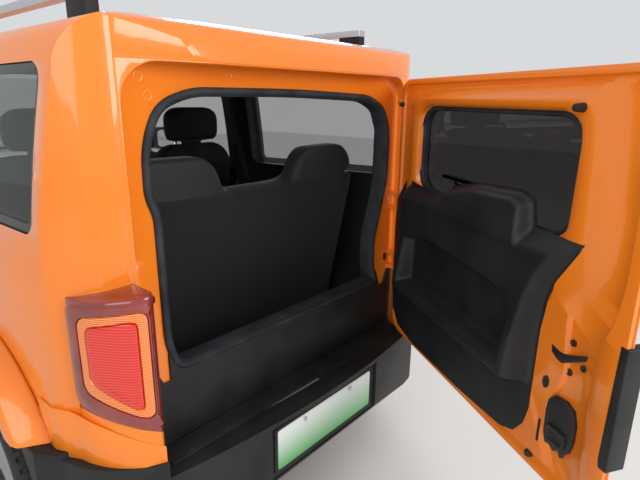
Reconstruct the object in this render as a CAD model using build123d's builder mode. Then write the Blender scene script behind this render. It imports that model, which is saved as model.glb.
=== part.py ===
"""Electric mini SUV with a side-hinged tailgate, built in the vehicle's own frame.

X is the vehicle's right, Y is forward, Z is up, all in millimetres. The floor is Z = 0 and the
origin lies under the middle of the whole box, the open tailgate included. The body is drawn in
three views that meet in one outer form, and each panel is cut out of the wall between that form
and the same form drawn further in. Stations along the vehicle are measured from the seal plane,
the face that the closed tailgate's weatherstrip lies on.
"""
import os
from math import cos, radians, sin

from build123d import *

os.makedirs("parts", exist_ok=True)

# Main sizes of the vehicle
front_overhang = 540.0
arch_width = 1685.0
mirror_width = 1936.0
wheelbase = 2110.0
rear_overhang = 731.0
bumper_reach = 170.0
track = 1440.0
side_wall = 70.0
roof_wall = 55.0
bonnet_wall = 30.0
shut_gap = 8.0
seat_gap = 0.3

# Wheels and tyres
tyre_r = 326.0
tyre_width = 205.0
rim_r = 205.0
hub_r = 72.0
spindle_r = 30.0
running_gap = 0.05

# Tailgate
tailgate_open = 57.0
tailgate_half = 575.0
tailgate_low = 540.0
tailgate_high = 1536.0
tailgate_corner = 85.0
tailgate_inside = 24.0
hinge_out = 558.0
hinge_back = 35.0
hinge_heights = (820.0, 1070.0)
skin_back = 95.0
edge_back = 32.06

# Openings of the body
seam_half = 590.0
frame_top = 1546.0
recess_half = 582.0
opening_low = 745.0
opening_high = 1480.0
door_rear = 1085.0
door_front = wheelbase + 125.0
door_low = 380.0
door_high = 1545.0
belt_z = 1100.0
arch_r = 400.0
arch_trim_r = 485.0

# Seal plane, placed so that nose and open tailgate tip lie equally far from the origin
tip_reach = (hinge_back + (hinge_out + tailgate_half) * sin(radians(tailgate_open))
             - (hinge_back - edge_back) * cos(radians(tailgate_open)))
nose_reach = rear_overhang - bumper_reach + wheelbase + front_overhang
seal_y = (tip_reach - nose_reach) / 2
rear_axle_y = seal_y - bumper_reach + rear_overhang
front_axle_y = rear_axle_y + wheelbase
nose_y = seal_y + nose_reach
axle_z = tyre_r
wheel_x = track / 2

# Stations of the body in front view: half width and height of each turn
body_low = 300.0
flank = ((742.0, 420.0), (760.0, 760.0), (748.0, 1080.0))
tumble = ((748.0, 1080.0), (726.0, 1310.0), (694.0, 1520.0))
cant = ((694.0, 1520.0), (664.0, 1597.0), (600.0, 1634.0))
crown_z = 1676.0

# Side view
tail_y = seal_y - skin_back
screen_top_y = front_axle_y - 581.0
screen_base_y = front_axle_y - 126.0
screen_base_z = 1085.0
bonnet_front_y = nose_y - 95.0
bonnet_front_z = 965.0
bonnet_rear_y = front_axle_y - 81.0


def skin(inset, roof_inset):
    """The whole body form, drawn inset from the outer skin, open below its sills."""
    with BuildPart() as form:
        with BuildSketch(Plane.XZ.offset(-(nose_y + 100))):
            with BuildLine():
                Line((flank[0][0], -200), flank[0])
                ThreePointArc(*flank)
                ThreePointArc(*tumble)
                ThreePointArc(*cant)
                half = cant[2][0]
                ThreePointArc(cant[2], (half / 2, crown_z - (crown_z - cant[2][1]) / 4), (0, crown_z))
                mirror(about=Plane.YZ)
                Line((-flank[0][0], -200), (flank[0][0], -200))
            make_face()
            if inset:
                offset(amount=-inset, kind=Kind.INTERSECTION)
        extrude(amount=nose_reach + 600)
        with BuildSketch(Plane.YZ):
            with BuildLine():
                Polyline((tail_y + 30, -200), (tail_y, 500), (tail_y, 1000), (tail_y + 22, 1530))
                ThreePointArc((tail_y + 22, 1530), (tail_y + 45, 1605), (tail_y + 130, 1648))
                ThreePointArc((tail_y + 130, 1648), (seal_y + 1050, 1676), (screen_top_y, 1640))
                ThreePointArc((screen_top_y, 1640), (screen_top_y + 245, 1362), (screen_base_y, screen_base_z))
                ThreePointArc((screen_base_y, screen_base_z), (screen_base_y + 300, 1044),
                              (bonnet_front_y, bonnet_front_z))
                ThreePointArc((bonnet_front_y, bonnet_front_z), (nose_y - 30, 925), (nose_y, 830))
                Polyline((nose_y, 830), (nose_y, 620), (nose_y - 60, 300), (nose_y - 200, -200),
                         (tail_y + 30, -200))
            make_face()
            if inset:
                offset(amount=-roof_inset, kind=Kind.INTERSECTION)
        extrude(amount=900, both=True, mode=Mode.INTERSECT)
        with BuildSketch(Plane.XY.offset(-300)):
            with BuildLine():
                ThreePointArc((-570, tail_y + 62), (0, tail_y), (570, tail_y + 62))
                ThreePointArc((570, tail_y + 62), (684, tail_y + 115), (765, tail_y + 245))
                Polyline((765, tail_y + 245), (775, tail_y + 400), (775, nose_y - 700))
                ThreePointArc((775, nose_y - 700), (745, nose_y - 330), (660, nose_y - 110))
                ThreePointArc((660, nose_y - 110), (560, nose_y - 30), (400, nose_y))
                Line((400, nose_y), (-400, nose_y))
                ThreePointArc((-400, nose_y), (-560, nose_y - 30), (-660, nose_y - 110))
                ThreePointArc((-660, nose_y - 110), (-745, nose_y - 330), (-775, nose_y - 700))
                Polyline((-775, nose_y - 700), (-775, tail_y + 400), (-765, tail_y + 245))
                ThreePointArc((-765, tail_y + 245), (-684, tail_y + 115), (-570, tail_y + 62))
            make_face()
            if inset:
                offset(amount=-inset, kind=Kind.INTERSECTION)
        extrude(amount=2200, mode=Mode.INTERSECT)
    return form.part


outer = skin(0, 0)
inner = skin(side_wall, roof_wall)
glass_face = skin(6, 6)
glass_back = skin(11, 11)
with BuildPart() as wall:
    add(outer)
    add(inner, mode=Mode.SUBTRACT)
    with Locations((0, 0, body_low)):
        Box(2000, 6000, 600, align=(Align.CENTER, Align.CENTER, Align.MAX), mode=Mode.SUBTRACT)
with BuildPart() as pane:
    add(glass_face)
    add(glass_back, mode=Mode.SUBTRACT)


def outline_prism(points, radius, plane, depth, shrink=0.0):
    """A prism through the body on a rounded outline, smaller by the shrink."""
    with BuildPart() as prism:
        with BuildSketch(plane):
            with BuildLine():
                FilletPolyline(*points, radius=radius, close=True)
            make_face()
            if shrink:
                offset(amount=-shrink)
        extrude(amount=depth, both=True)
    return prism.part


# Outlines in side view: station along Y and height
door_outline = ((seal_y + door_rear, door_low), (seal_y + door_rear, door_high),
                (seal_y + door_front - 305, door_high), (seal_y + door_front, belt_z + 20),
                (seal_y + door_front, door_low))
door_window = ((seal_y + door_rear + 75, belt_z), (seal_y + door_rear + 75, 1490),
               (seal_y + door_front - 340, 1490), (seal_y + door_front - 95, belt_z))
quarter_window = ((seal_y + 138, 1150), (seal_y + 84, 1538), (seal_y + 960, 1538), (seal_y + 960, 1130))
# Outlines in front view
screen_outline = ((640, screen_base_z + 10), (548, 1582), (-548, 1582), (-640, screen_base_z + 10))
side_plane = Plane.YZ
front_plane = Plane.XZ

door_hole = outline_prism(door_outline, 45, side_plane, 1000)
door_form = outline_prism(door_outline, 45, side_plane, 1000, shut_gap)
door_glass_hole = outline_prism(door_window, 40, side_plane, 1000)
door_glass_form = outline_prism(door_window, 40, side_plane, 1000, seat_gap)
quarter_hole = outline_prism(quarter_window, 45, side_plane, 1000)
quarter_form = outline_prism(quarter_window, 45, side_plane, 1000, seat_gap)
screen_form = outline_prism(screen_outline, 50, front_plane, 4000, seat_gap)

wheel_stations = {"rear": rear_axle_y, "front": front_axle_y}
sides = {"left": -1, "right": 1}
wing_seam_y = front_axle_y - 381
scuttle_y = front_axle_y - 111

# Body sides: one panel each from the tailgate's corner to the screen pillar, with its openings
for side, sign in sides.items():
    with BuildPart() as body_side:
        add(wall.part)
        with Locations((sign * (seam_half + 500), 0, 0)):
            Box(1000, 6000, 4000, mode=Mode.INTERSECT)
        with Locations((0, wing_seam_y, 0)):
            Box(2000, 3000, screen_base_z, align=(Align.CENTER, Align.MIN, Align.MIN), mode=Mode.SUBTRACT)
        with Locations((0, scuttle_y, 0)):
            Box(2000, 3000, 3000, align=(Align.CENTER, Align.MIN, Align.MIN), mode=Mode.SUBTRACT)
        add(door_hole, mode=Mode.SUBTRACT)
        add(quarter_hole, mode=Mode.SUBTRACT)
        with BuildSketch(Plane.XZ.offset(-screen_top_y + 200)):
            with BuildLine():
                FilletPolyline(*screen_outline, radius=50, close=True)
            make_face()
        extrude(amount=-1500, mode=Mode.SUBTRACT)
        with Locations(Location((0, rear_axle_y, axle_z), (0, 90, 0))):
            Cylinder(arch_r, 2000, mode=Mode.SUBTRACT)
        with Locations((0, seal_y, 0)):
            Box(2000, 400, 2 * 590, align=(Align.CENTER, Align.MAX, Align.CENTER), mode=Mode.SUBTRACT)
    body_side.part.label = f"body_side_{side}"
    export_step(body_side.part, f"parts/body_side_{side}.step")

# Roof, wrapped down over the tailgate, with the screen header at its front
with BuildPart() as roof:
    add(wall.part)
    with Locations((0, 0, 1400)):
        Box(2 * seam_half, 6000, 600, align=(Align.CENTER, Align.CENTER, Align.MIN), mode=Mode.INTERSECT)
    with Locations((0, seal_y + 70, 1000)):
        Box(2000, 400, frame_top - 1000, align=(Align.CENTER, Align.MAX, Align.MIN), mode=Mode.SUBTRACT)
    with BuildSketch(Plane.XZ.offset(-screen_top_y + 200)):
        with BuildLine():
            FilletPolyline(*screen_outline, radius=50, close=True)
        make_face()
    extrude(amount=-1500, mode=Mode.SUBTRACT)
roof.part.label = "roof"
export_step(roof.part, "parts/roof.step")

# Rear frame: the recess that the tailgate shuts into and the load opening. The opening is wide
# above the belt and draws in below it on the hinge side.
opening_outline = ((470, opening_low), (440, 800), (435, 925), (470, 1030), (510, 1160), (512, 1350),
                   (472, 1432), (380, 1470), (0, opening_high + 2), (-380, opening_high), (-478, 1445),
                   (-518, 1350), (-520, 1230), (-500, 1180), (-498, 830), (-470, opening_low))
with BuildPart() as rear_frame:
    with Locations((0, seal_y + 60, tailgate_low + 4)):
        Box(2 * seam_half, 60 + 100, frame_top - seat_gap - tailgate_low - 4,
            align=(Align.CENTER, Align.MAX, Align.MIN))
    add(outer, mode=Mode.INTERSECT)
    with BuildSketch(Plane.XZ.offset(-seal_y)):
        with Locations((0, (400 + frame_top - 3) / 2)):
            RectangleRounded(2 * recess_half, frame_top - 3 - 400, tailgate_corner + 7)
    extrude(amount=150, mode=Mode.SUBTRACT)
    with BuildSketch(Plane.XZ.offset(-seal_y + 50)):
        with BuildLine():
            FilletPolyline(*opening_outline, radius=26, close=True)
        make_face()
    extrude(amount=-200, mode=Mode.SUBTRACT)
rear_frame.part.label = "rear_frame"
export_step(rear_frame.part, "parts/rear_frame.step")

# Weatherstrip round the load opening
seal_width = 24.0
seal_depth = 18.0
with BuildPart() as tail_seal:
    with BuildSketch(Plane.XZ.offset(-seal_y)):
        with BuildLine():
            FilletPolyline(*opening_outline, radius=26, close=True)
        make_face()
        offset(amount=seal_width)
        with BuildLine():
            FilletPolyline(*opening_outline, radius=26, close=True)
        make_face(mode=Mode.SUBTRACT)
    extrude(amount=seal_depth)
tail_seal.part.label = "tail_seal"
export_step(tail_seal.part, "parts/tail_seal.step")

# Black moulding over the sill of the load opening, with an ear up each side
shelf_z = tailgate_low - 12
with BuildPart() as sill_cover:
    with BuildSketch(Plane.XZ.offset(-(seal_y - seat_gap))):
        with BuildLine():
            Polyline((0, shelf_z + seat_gap), (recess_half - seat_gap, shelf_z + seat_gap),
                     (recess_half - seat_gap, 775), (545, 775), (520, opening_low - seal_width - seat_gap),
                     (0, opening_low - seal_width - seat_gap))
            mirror(about=Plane.YZ)
        make_face()
    extrude(amount=7)
    with BuildSketch(Plane.XZ.offset(-(seal_y - seat_gap))):
        with BuildLine():
            FilletPolyline(*opening_outline, radius=26, close=True)
        make_face()
        offset(amount=seal_width + seat_gap)
    extrude(amount=20, mode=Mode.SUBTRACT)
sill_cover.part.label = "sill_cover"
export_step(sill_cover.part, "parts/sill_cover.step")

# Screen, quarter windows and side door windows follow the skin
with BuildPart() as windscreen:
    add(pane.part)
    add(screen_form, mode=Mode.INTERSECT)
    with Locations((0, screen_top_y - 80, 1000)):
        Box(2000, 1500, 1000, align=(Align.CENTER, Align.MIN, Align.MIN), mode=Mode.INTERSECT)
windscreen.part.label = "windscreen"
export_step(windscreen.part, "parts/windscreen.step")

with BuildPart() as quarter_glass:
    add(pane.part)
    add(quarter_form, mode=Mode.INTERSECT)
quarter_glass.part.label = "quarter_glass"
export_step(quarter_glass.part, "parts/quarter_glass.step")

# Front wings, nose, bonnet and cowl come out of the same wall
nose_seam_y = nose_y - 190
bonnet_half = 610.0
with BuildPart() as front_wings:
    add(wall.part)
    with Locations((0, wing_seam_y, body_low)):
        Box(2000, nose_seam_y - wing_seam_y, screen_base_z - body_low,
            align=(Align.CENTER, Align.MIN, Align.MIN), mode=Mode.INTERSECT)
    with Locations((0, wing_seam_y, body_low)):
        Box(2 * bonnet_half, 3000, 2000, align=(Align.CENTER, Align.CENTER, Align.MIN), mode=Mode.SUBTRACT)
    with Locations(Location((0, front_axle_y, axle_z), (0, 90, 0))):
        Cylinder(arch_r, 2000, mode=Mode.SUBTRACT)
front_wings.part.label = "front_wings"
export_step(front_wings.part, "parts/front_wings.step")

with BuildPart() as bonnet:
    add(outer)
    add(skin(bonnet_wall, bonnet_wall), mode=Mode.SUBTRACT)
    with Locations((0, bonnet_rear_y, 860)):
        Box(2 * (bonnet_half - shut_gap), nose_y - 100 - bonnet_rear_y, 400,
            align=(Align.CENTER, Align.MIN, Align.MIN), mode=Mode.INTERSECT)
bonnet.part.label = "bonnet"
export_step(bonnet.part, "parts/bonnet.step")

with BuildPart() as cowl:
    add(outer)
    add(skin(45, 45), mode=Mode.SUBTRACT)
    with Locations((0, bonnet_rear_y - shut_gap, screen_base_z - seat_gap)):
        Box(2 * bonnet_half - 2 * seat_gap, 130, 200,
            align=(Align.CENTER, Align.MAX, Align.MAX), mode=Mode.INTERSECT)
cowl.part.label = "cowl"
export_step(cowl.part, "parts/cowl.step")

nose_low = 610.0
with BuildPart() as nose_panel:
    add(wall.part)
    with Locations((0, nose_seam_y + seat_gap, nose_low)):
        Box(2000, 600, 920 - nose_low, align=(Align.CENTER, Align.MIN, Align.MIN), mode=Mode.INTERSECT)
    with BuildSketch(Plane.XZ.offset(-(nose_y + 10))):
        with Locations((0, 770)):
            RectangleRounded(1200, 220, 80)
    extrude(amount=40, mode=Mode.SUBTRACT)
nose_panel.part.label = "nose_panel"
export_step(nose_panel.part, "parts/nose_panel.step")

with BuildPart() as front_bumper:
    add(wall.part)
    with Locations((0, front_axle_y + arch_r - 8, body_low)):
        Box(2000, 700, nose_low - seat_gap - body_low,
            align=(Align.CENTER, Align.MIN, Align.MIN), mode=Mode.INTERSECT)
    with Locations((0, nose_seam_y, body_low)):
        Box(2000, 700, 200, align=(Align.CENTER, Align.MAX, Align.MIN), mode=Mode.SUBTRACT)
front_bumper.part.label = "front_bumper"
export_step(front_bumper.part, "parts/front_bumper.step")
# Rear bumper: dark moulding with a shelf under the tailgate and a recess for the plate
bumper_low = 285.0
bumper_top = 575.0
cladding_high = 590.0
cladding_half = 812.0
lamp_in = 592.0
lamp_out = 712.0
plate_width = 520.0
plate_low = 325.0
plate_high = 505.0
plate_bolt_pitch = 235.0
plate_bolt_z = 470.0
plate_bolt_r = 3.5
with BuildPart() as rear_bumper:
    with BuildSketch(Plane.XY.offset(bumper_low)):
        with BuildLine():
            ThreePointArc((-lamp_in, seal_y - 120), (0, seal_y - bumper_reach), (lamp_in, seal_y - 120))
            ThreePointArc((lamp_in, seal_y - 120), (705, seal_y - 38), (765, seal_y + 82))
            Polyline((765, seal_y + 82), (cladding_half, seal_y + 150), (cladding_half, rear_axle_y - 250),
                     (700, rear_axle_y - 250), (690, seal_y + 10), (-690, seal_y + 10),
                     (-700, rear_axle_y - 250), (-cladding_half, rear_axle_y - 250),
                     (-cladding_half, seal_y + 150), (-765, seal_y + 82))
            ThreePointArc((-765, seal_y + 82), (-705, seal_y - 38), (-lamp_in, seal_y - 120))
        make_face()
    extrude(amount=cladding_high - bumper_low)
    with Locations((0, seal_y - 300, shelf_z)):
        Box(2 * (lamp_in - 2), 800, 400, align=(Align.CENTER, Align.CENTER, Align.MIN), mode=Mode.SUBTRACT)
    with Locations((0, seal_y + 90, bumper_top)):
        Box(3000, 1000, 400, align=(Align.CENTER, Align.MAX, Align.MIN), mode=Mode.SUBTRACT)
    with BuildSketch(Plane.YZ):
        with BuildLine():
            Polyline((seal_y - 200, bumper_low), (seal_y - 130, bumper_low),
                     (seal_y - 190, bumper_low + 90), (seal_y - 200, bumper_low))
        make_face()
    extrude(amount=1000, both=True, mode=Mode.SUBTRACT)
    with Locations((0, seal_y - bumper_reach, plate_low - 8)):
        Box(plate_width + 24, 48, plate_high - plate_low + 16,
            align=(Align.CENTER, Align.CENTER, Align.MIN), mode=Mode.SUBTRACT)
    with BuildSketch(Plane.XZ.offset(-(seal_y - bumper_reach))):
        with Locations((0, plate_bolt_z)):
            with GridLocations(plate_bolt_pitch, 10, 2, 1):
                Circle(plate_bolt_r)
    extrude(amount=-50, mode=Mode.SUBTRACT)
    add(outer, mode=Mode.SUBTRACT)
    for axle_y in wheel_stations.values():
        with Locations(Location((0, axle_y, axle_z), (0, 90, 0))):
            Cylinder(arch_r, 2000, mode=Mode.SUBTRACT)
rear_bumper.part.label = "rear_bumper"
export_step(rear_bumper.part, "parts/rear_bumper.step")

# Painted corners between the bumper and the tail lamps, up to the edge of the arch trims. The
# corners and the lamps above them stand out from the rounded tail and share one plan.
lamp_high_in = 1036.0
lamp_high_out = 1012.0
lamp_low_in = 622.0
lamp_low_out = 712.0
with BuildPart() as bumper_corners:
    with BuildSketch(Plane.XY.offset(bumper_top + seat_gap)):
        with BuildLine():
            Polyline((lamp_in, seal_y + 10), (lamp_in, seal_y - 116), (640, seal_y - 94))
            ThreePointArc((640, seal_y - 94), (695, seal_y - 34), (732, seal_y + 55))
            Polyline((732, seal_y + 55), (766, seal_y + 120), (766, seal_y + 200), (lamp_in, seal_y + 10))
        make_face()
    extrude(amount=150)
    with BuildSketch(Plane.XZ.offset(-(seal_y + 200))):
        Polygon((500, lamp_low_in - seat_gap - 10), (lamp_in, lamp_low_in - seat_gap),
                (lamp_out + 26, lamp_low_out - seat_gap), (900, lamp_low_out - seat_gap), (900, 900), (500, 900),
                align=None)
    extrude(amount=400, mode=Mode.SUBTRACT)
    mirror(about=Plane.YZ)
    add(outer, mode=Mode.SUBTRACT)
    with Locations((0, seal_y + 90, bumper_top)):
        Box(2000, 600, cladding_high + seat_gap - bumper_top,
            align=(Align.CENTER, Align.MIN, Align.MIN), mode=Mode.SUBTRACT)
    with Locations(Location((0, rear_axle_y, axle_z), (0, 90, 0))):
        Cylinder(arch_trim_r + seat_gap, 2000, mode=Mode.SUBTRACT)
bumper_corners.part.label = "bumper_corners"
export_step(bumper_corners.part, "parts/bumper_corners.step")

# Tail lamps on the corners
with BuildPart() as tail_lamps:
    with BuildSketch(Plane.XY.offset(lamp_low_in)):
        with BuildLine():
            Polyline((lamp_in, seal_y + 20), (lamp_in, seal_y - 108), (602, seal_y - 116), (640, seal_y - 96))
            ThreePointArc((640, seal_y - 96), (690, seal_y - 34), (720, seal_y + 50))
            Polyline((720, seal_y + 50), (712, seal_y + 90), (lamp_in, seal_y + 20))
        make_face()
    extrude(amount=lamp_high_in - lamp_low_in)
    with BuildSketch(Plane.XZ.offset(-(seal_y + 200))):
        Polygon((lamp_in - 5, lamp_low_in - 2), (lamp_out + 26, lamp_low_out), (lamp_out + 26, lamp_high_out),
                (lamp_in - 5, lamp_high_in), align=None)
    extrude(amount=400, mode=Mode.INTERSECT)
    mirror(about=Plane.YZ)
    add(outer, mode=Mode.SUBTRACT)
tail_lamps.part.label = "tail_lamps"
export_step(tail_lamps.part, "parts/tail_lamps.step")

# Painted arch trims over the four wheels
with BuildPart() as arch_trims:
    for axle_y in wheel_stations.values():
        with BuildSketch(Plane.XZ.offset(-axle_y)):
            with BuildLine():
                reach = arch_width / 2
                Polyline((reach - 142, axle_z + arch_r), (reach - 142, axle_z + arch_trim_r),
                         (reach - 74, axle_z + arch_trim_r), (reach - 8, axle_z + arch_trim_r - 34),
                         (reach, axle_z + arch_trim_r - 52), (reach, axle_z + arch_r),
                         (reach - 142, axle_z + arch_r))
            make_face()
        revolve(axis=Axis((0, axle_y, axle_z), (1, 0, 0)))
    with Locations((0, 0, cladding_high + seat_gap)):
        Box(2000, 6000, 1000, align=(Align.CENTER, Align.CENTER, Align.MIN), mode=Mode.INTERSECT)
    add(outer, mode=Mode.SUBTRACT)
    mirror(about=Plane.YZ)
arch_trims.part.label = "arch_trims"
export_step(arch_trims.part, "parts/arch_trims.step")

# Dark cladding along the sills, with the lower ends of the arches
sill_high = 376.0
with BuildPart() as sill_cladding:
    with Locations((0, (rear_axle_y + front_axle_y) / 2, 262)):
        Box(2 * 800, wheelbase - 2 * arch_r + 40, sill_high - 262,
            align=(Align.CENTER, Align.CENTER, Align.MIN))
    for axle_y, side_y in ((rear_axle_y, 1), (front_axle_y, -1)):
        with Locations(Location((0, axle_y, axle_z), (0, 90, 0))):
            Cylinder(arch_trim_r - 6, 2 * cladding_half)
        with Locations((0, axle_y - side_y * 600, 0)):
            Box(2000, 1500, 2000, mode=Mode.SUBTRACT)
        with Locations(Location((0, axle_y, axle_z), (0, 90, 0))):
            Cylinder(arch_r, 2000, mode=Mode.SUBTRACT)
    with Locations((0, 0, 262)):
        Box(2000, 6000, cladding_high - 262, align=(Align.CENTER, Align.CENTER, Align.MIN),
            mode=Mode.INTERSECT)
    Box(2 * 735, 6000, 2000, mode=Mode.SUBTRACT)
    with Locations((0, seal_y + door_front + shut_gap, sill_high)):
        Box(2000, 800, 400, align=(Align.CENTER, Align.MAX, Align.MIN), mode=Mode.SUBTRACT)
    add(outer, mode=Mode.SUBTRACT)
sill_cladding.part.label = "sill_cladding"
export_step(sill_cladding.part, "parts/sill_cladding.step")

# Wheels: tyre on rim, with the brake disc behind the spokes
hub_face = 20.0
disc_r = 125.0
disc_back = -20.0
disc_front = -2.0
cap_out = 64.0
bore_end = 50.0
bead = 89.0
bead_top = 214.0
flange_r = 213.0
tread_half = 80.0
spoke_windows = 6
wheel_bolt_r = 7.5
wheel_bolt_circle = 50.0
wheel_places = [(f"{end}_{side}", sign, axle_y) for end, axle_y in wheel_stations.items()
                for side, sign in sides.items()]
for place, sign, axle_y in wheel_places:
    centre = (sign * wheel_x, axle_y, axle_z)
    hub_plane = Plane(origin=centre, x_dir=(sign, 0, 0), z_dir=(0, -sign, 0))
    face_plane = Plane(origin=centre, x_dir=(0, 1, 0), z_dir=(sign, 0, 0))
    spin_axis = Axis(centre, (1, 0, 0))
    with BuildPart() as tyre:
        with BuildSketch(hub_plane):
            with BuildLine():
                Polyline((0, rim_r), (bead, rim_r), (bead, bead_top), (tyre_width / 2, 268),
                         (tread_half + 10, tyre_r), (0, tyre_r))
                mirror(about=Plane.YZ)
            make_face()
        revolve(axis=spin_axis)
    tyre.part.label = f"tyre_{place}"
    export_step(tyre.part, f"parts/tyre_{place}.step")

    with BuildPart() as rim:
        with BuildSketch(hub_plane):
            with BuildLine():
                Polyline((-bead - 6, flange_r), (-bead - seat_gap, flange_r), (-bead - seat_gap, rim_r - seat_gap),
                         (bead + seat_gap, rim_r - seat_gap), (bead + seat_gap, flange_r), (bead + 6, flange_r),
                         (78, 184), (62, 75), (cap_out, 30), (cap_out, 0), (bore_end, 0),
                         (bore_end, spindle_r + running_gap), (disc_back, spindle_r + running_gap),
                         (disc_back, disc_r), (disc_front, disc_r), (disc_front, hub_r), (hub_face, hub_r),
                         (50, 184), (-bead, 193), (-bead - 6, flange_r))
            make_face()
        revolve(axis=spin_axis)
        with BuildSketch(face_plane.offset(12)):
            with PolarLocations(88, spoke_windows):
                Polygon((0, -24), (82, -56), (82, 56), (0, 24), align=None)
        extrude(amount=100, mode=Mode.SUBTRACT)
        with BuildSketch(face_plane.offset(hub_face - 1)):
            with PolarLocations(wheel_bolt_circle, 4):
                Circle(wheel_bolt_r)
        extrude(amount=100, mode=Mode.SUBTRACT)
    rim.part.label = f"rim_{place}"
    export_step(rim.part, f"parts/rim_{place}.step")

# Steering knuckles with spindle, strut and caliper, each turning about its inclined king pin
king_lean = 12.5
king_x = 655.0
king_z = 215.0
ball_r = 18.0
spindle_in = -78.0
strut_top = 625.0
strut_r = 24.0
spring_r = 52.0
spring_low = 474.0
spring_pitch = 26.0
spring_turns = 5
for side, sign in sides.items():
    king_foot = (sign * king_x, front_axle_y, king_z)
    king_up = (-sign * sin(radians(king_lean)), 0, cos(radians(king_lean)))
    king_plane = Plane(origin=king_foot, x_dir=(0, 1, 0), z_dir=king_up)
    spindle_plane = Plane(origin=(sign * (wheel_x + spindle_in), front_axle_y, axle_z),
                          x_dir=(0, 1, 0), z_dir=(sign, 0, 0))
    with BuildPart() as knuckle:
        with BuildSketch(Plane.XZ.offset(-front_axle_y)):
            Polygon(*[(sign * x, z) for x, z in
                      ((697, 284), (697, 368), (646, 392), (618, 512), (566, 512), (576, 410), (632, 320),
                       (640, 262), (646, 236), (664, 236), (690, 262))], align=None)
        extrude(amount=26, both=True)
        with BuildSketch(spindle_plane):
            Circle(56)
        extrude(amount=disc_back - 0.4 - spindle_in)
        with BuildSketch(spindle_plane):
            Circle(spindle_r)
        extrude(amount=bore_end - 0.5 - spindle_in)
        with BuildSketch(king_plane):
            Circle(11)
        extrude(amount=40)
        with Locations(king_plane.location):
            Sphere(ball_r)
        with BuildSketch(king_plane.offset(210)):
            Circle(strut_r)
        extrude(amount=270)
        with BuildSketch(king_plane.offset(470)):
            Circle(spring_r + 5)
        extrude(amount=8)
        with BuildSketch(Plane(origin=king_foot, x_dir=(0, 1, 0), z_dir=king_plane.x_dir.cross(king_plane.z_dir))):
            with BuildLine():
                turns = [(spring_r - 12 * (step % 2), spring_low + step * spring_pitch / 2)
                         for step in range(2 * spring_turns + 1)]
                Polyline((0, spring_low), *[(r, z) for r, z in turns],
                         (0, spring_low + spring_turns * spring_pitch), (0, spring_low))
            make_face()
        revolve(axis=Axis(king_foot, king_up))
        with BuildSketch(king_plane.offset(strut_top - 22)):
            Circle(spring_r + 5)
        extrude(amount=22)
        with BuildSketch(Plane.XY.offset(286)):
            Polygon(*[(sign * x, front_axle_y + y) for x, y in
                      ((690, 0), (690, -50), (612, -128), (584, -128), (584, -104), (640, -30), (640, 0))],
                    align=None)
        extrude(amount=26)
        with Locations((sign * (wheel_x + disc_back - 16), front_axle_y + 118, axle_z)):
            Box(44, 62, 120)
        with Locations((sign * (wheel_x + 4), front_axle_y + 145, axle_z)):
            Box(36, 20, 120)
        with Locations((sign * (wheel_x + disc_back - 24), front_axle_y + 60, axle_z)):
            Box(28, 90, 70)
        with BuildSketch(spindle_plane.offset(disc_back - 5 - spindle_in)):
            Circle(disc_r + 5)
        extrude(amount=disc_front - disc_back + 10, mode=Mode.SUBTRACT)
        with BuildSketch(spindle_plane):
            Circle(spindle_r)
        extrude(amount=bore_end - 0.5 - spindle_in)
        with BuildSketch(spindle_plane):
            Circle(56)
        extrude(amount=disc_back - 0.4 - spindle_in)
    knuckle.part.label = f"knuckle_{side}"
    export_step(knuckle.part, f"parts/knuckle_{side}.step")

# Front suspension: lower arms with their ball cups, subframe and steering rack
with BuildPart() as front_suspension:
    with Locations((0, front_axle_y - 15, 262)):
        Box(2 * 330, 400, 60)
    with Locations((0, front_axle_y - 15, 262)):
        Box(2 * 190, 250, 60, mode=Mode.SUBTRACT)
    with BuildSketch(Plane.XY.offset(200)):
        for sign in sides.values():
            Polygon(*[(sign * x, front_axle_y + y) for x, y in
                      ((280, 160), (330, 170), (560, 48), (655, 26), (655, -26), (560, -50), (330, -200),
                       (280, -190), (330, -130), (500, -10), (330, 110))], align=None)
    extrude(amount=32)
    for sign in sides.values():
        king_plane = Plane(origin=(sign * king_x, front_axle_y, king_z), x_dir=(0, 1, 0),
                           z_dir=(-sign * sin(radians(king_lean)), 0, cos(radians(king_lean))))
        with BuildSketch(king_plane.offset(-26)):
            Circle(31)
        extrude(amount=38)
        with BuildSketch(king_plane.offset(-ball_r - seat_gap)):
            Circle(ball_r + seat_gap)
        extrude(amount=60, mode=Mode.SUBTRACT)
    with Locations(Location((0, front_axle_y - 116, 318), (0, 90, 0))):
        Cylinder(30, 2 * 380)
    with Locations((-250, front_axle_y - 116, 302)):
        Box(60, 60, 60)
    with Locations((250, front_axle_y - 116, 302)):
        Box(60, 60, 60)
front_suspension.part.label = "front_suspension"
export_step(front_suspension.part, "parts/front_suspension.step")

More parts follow.
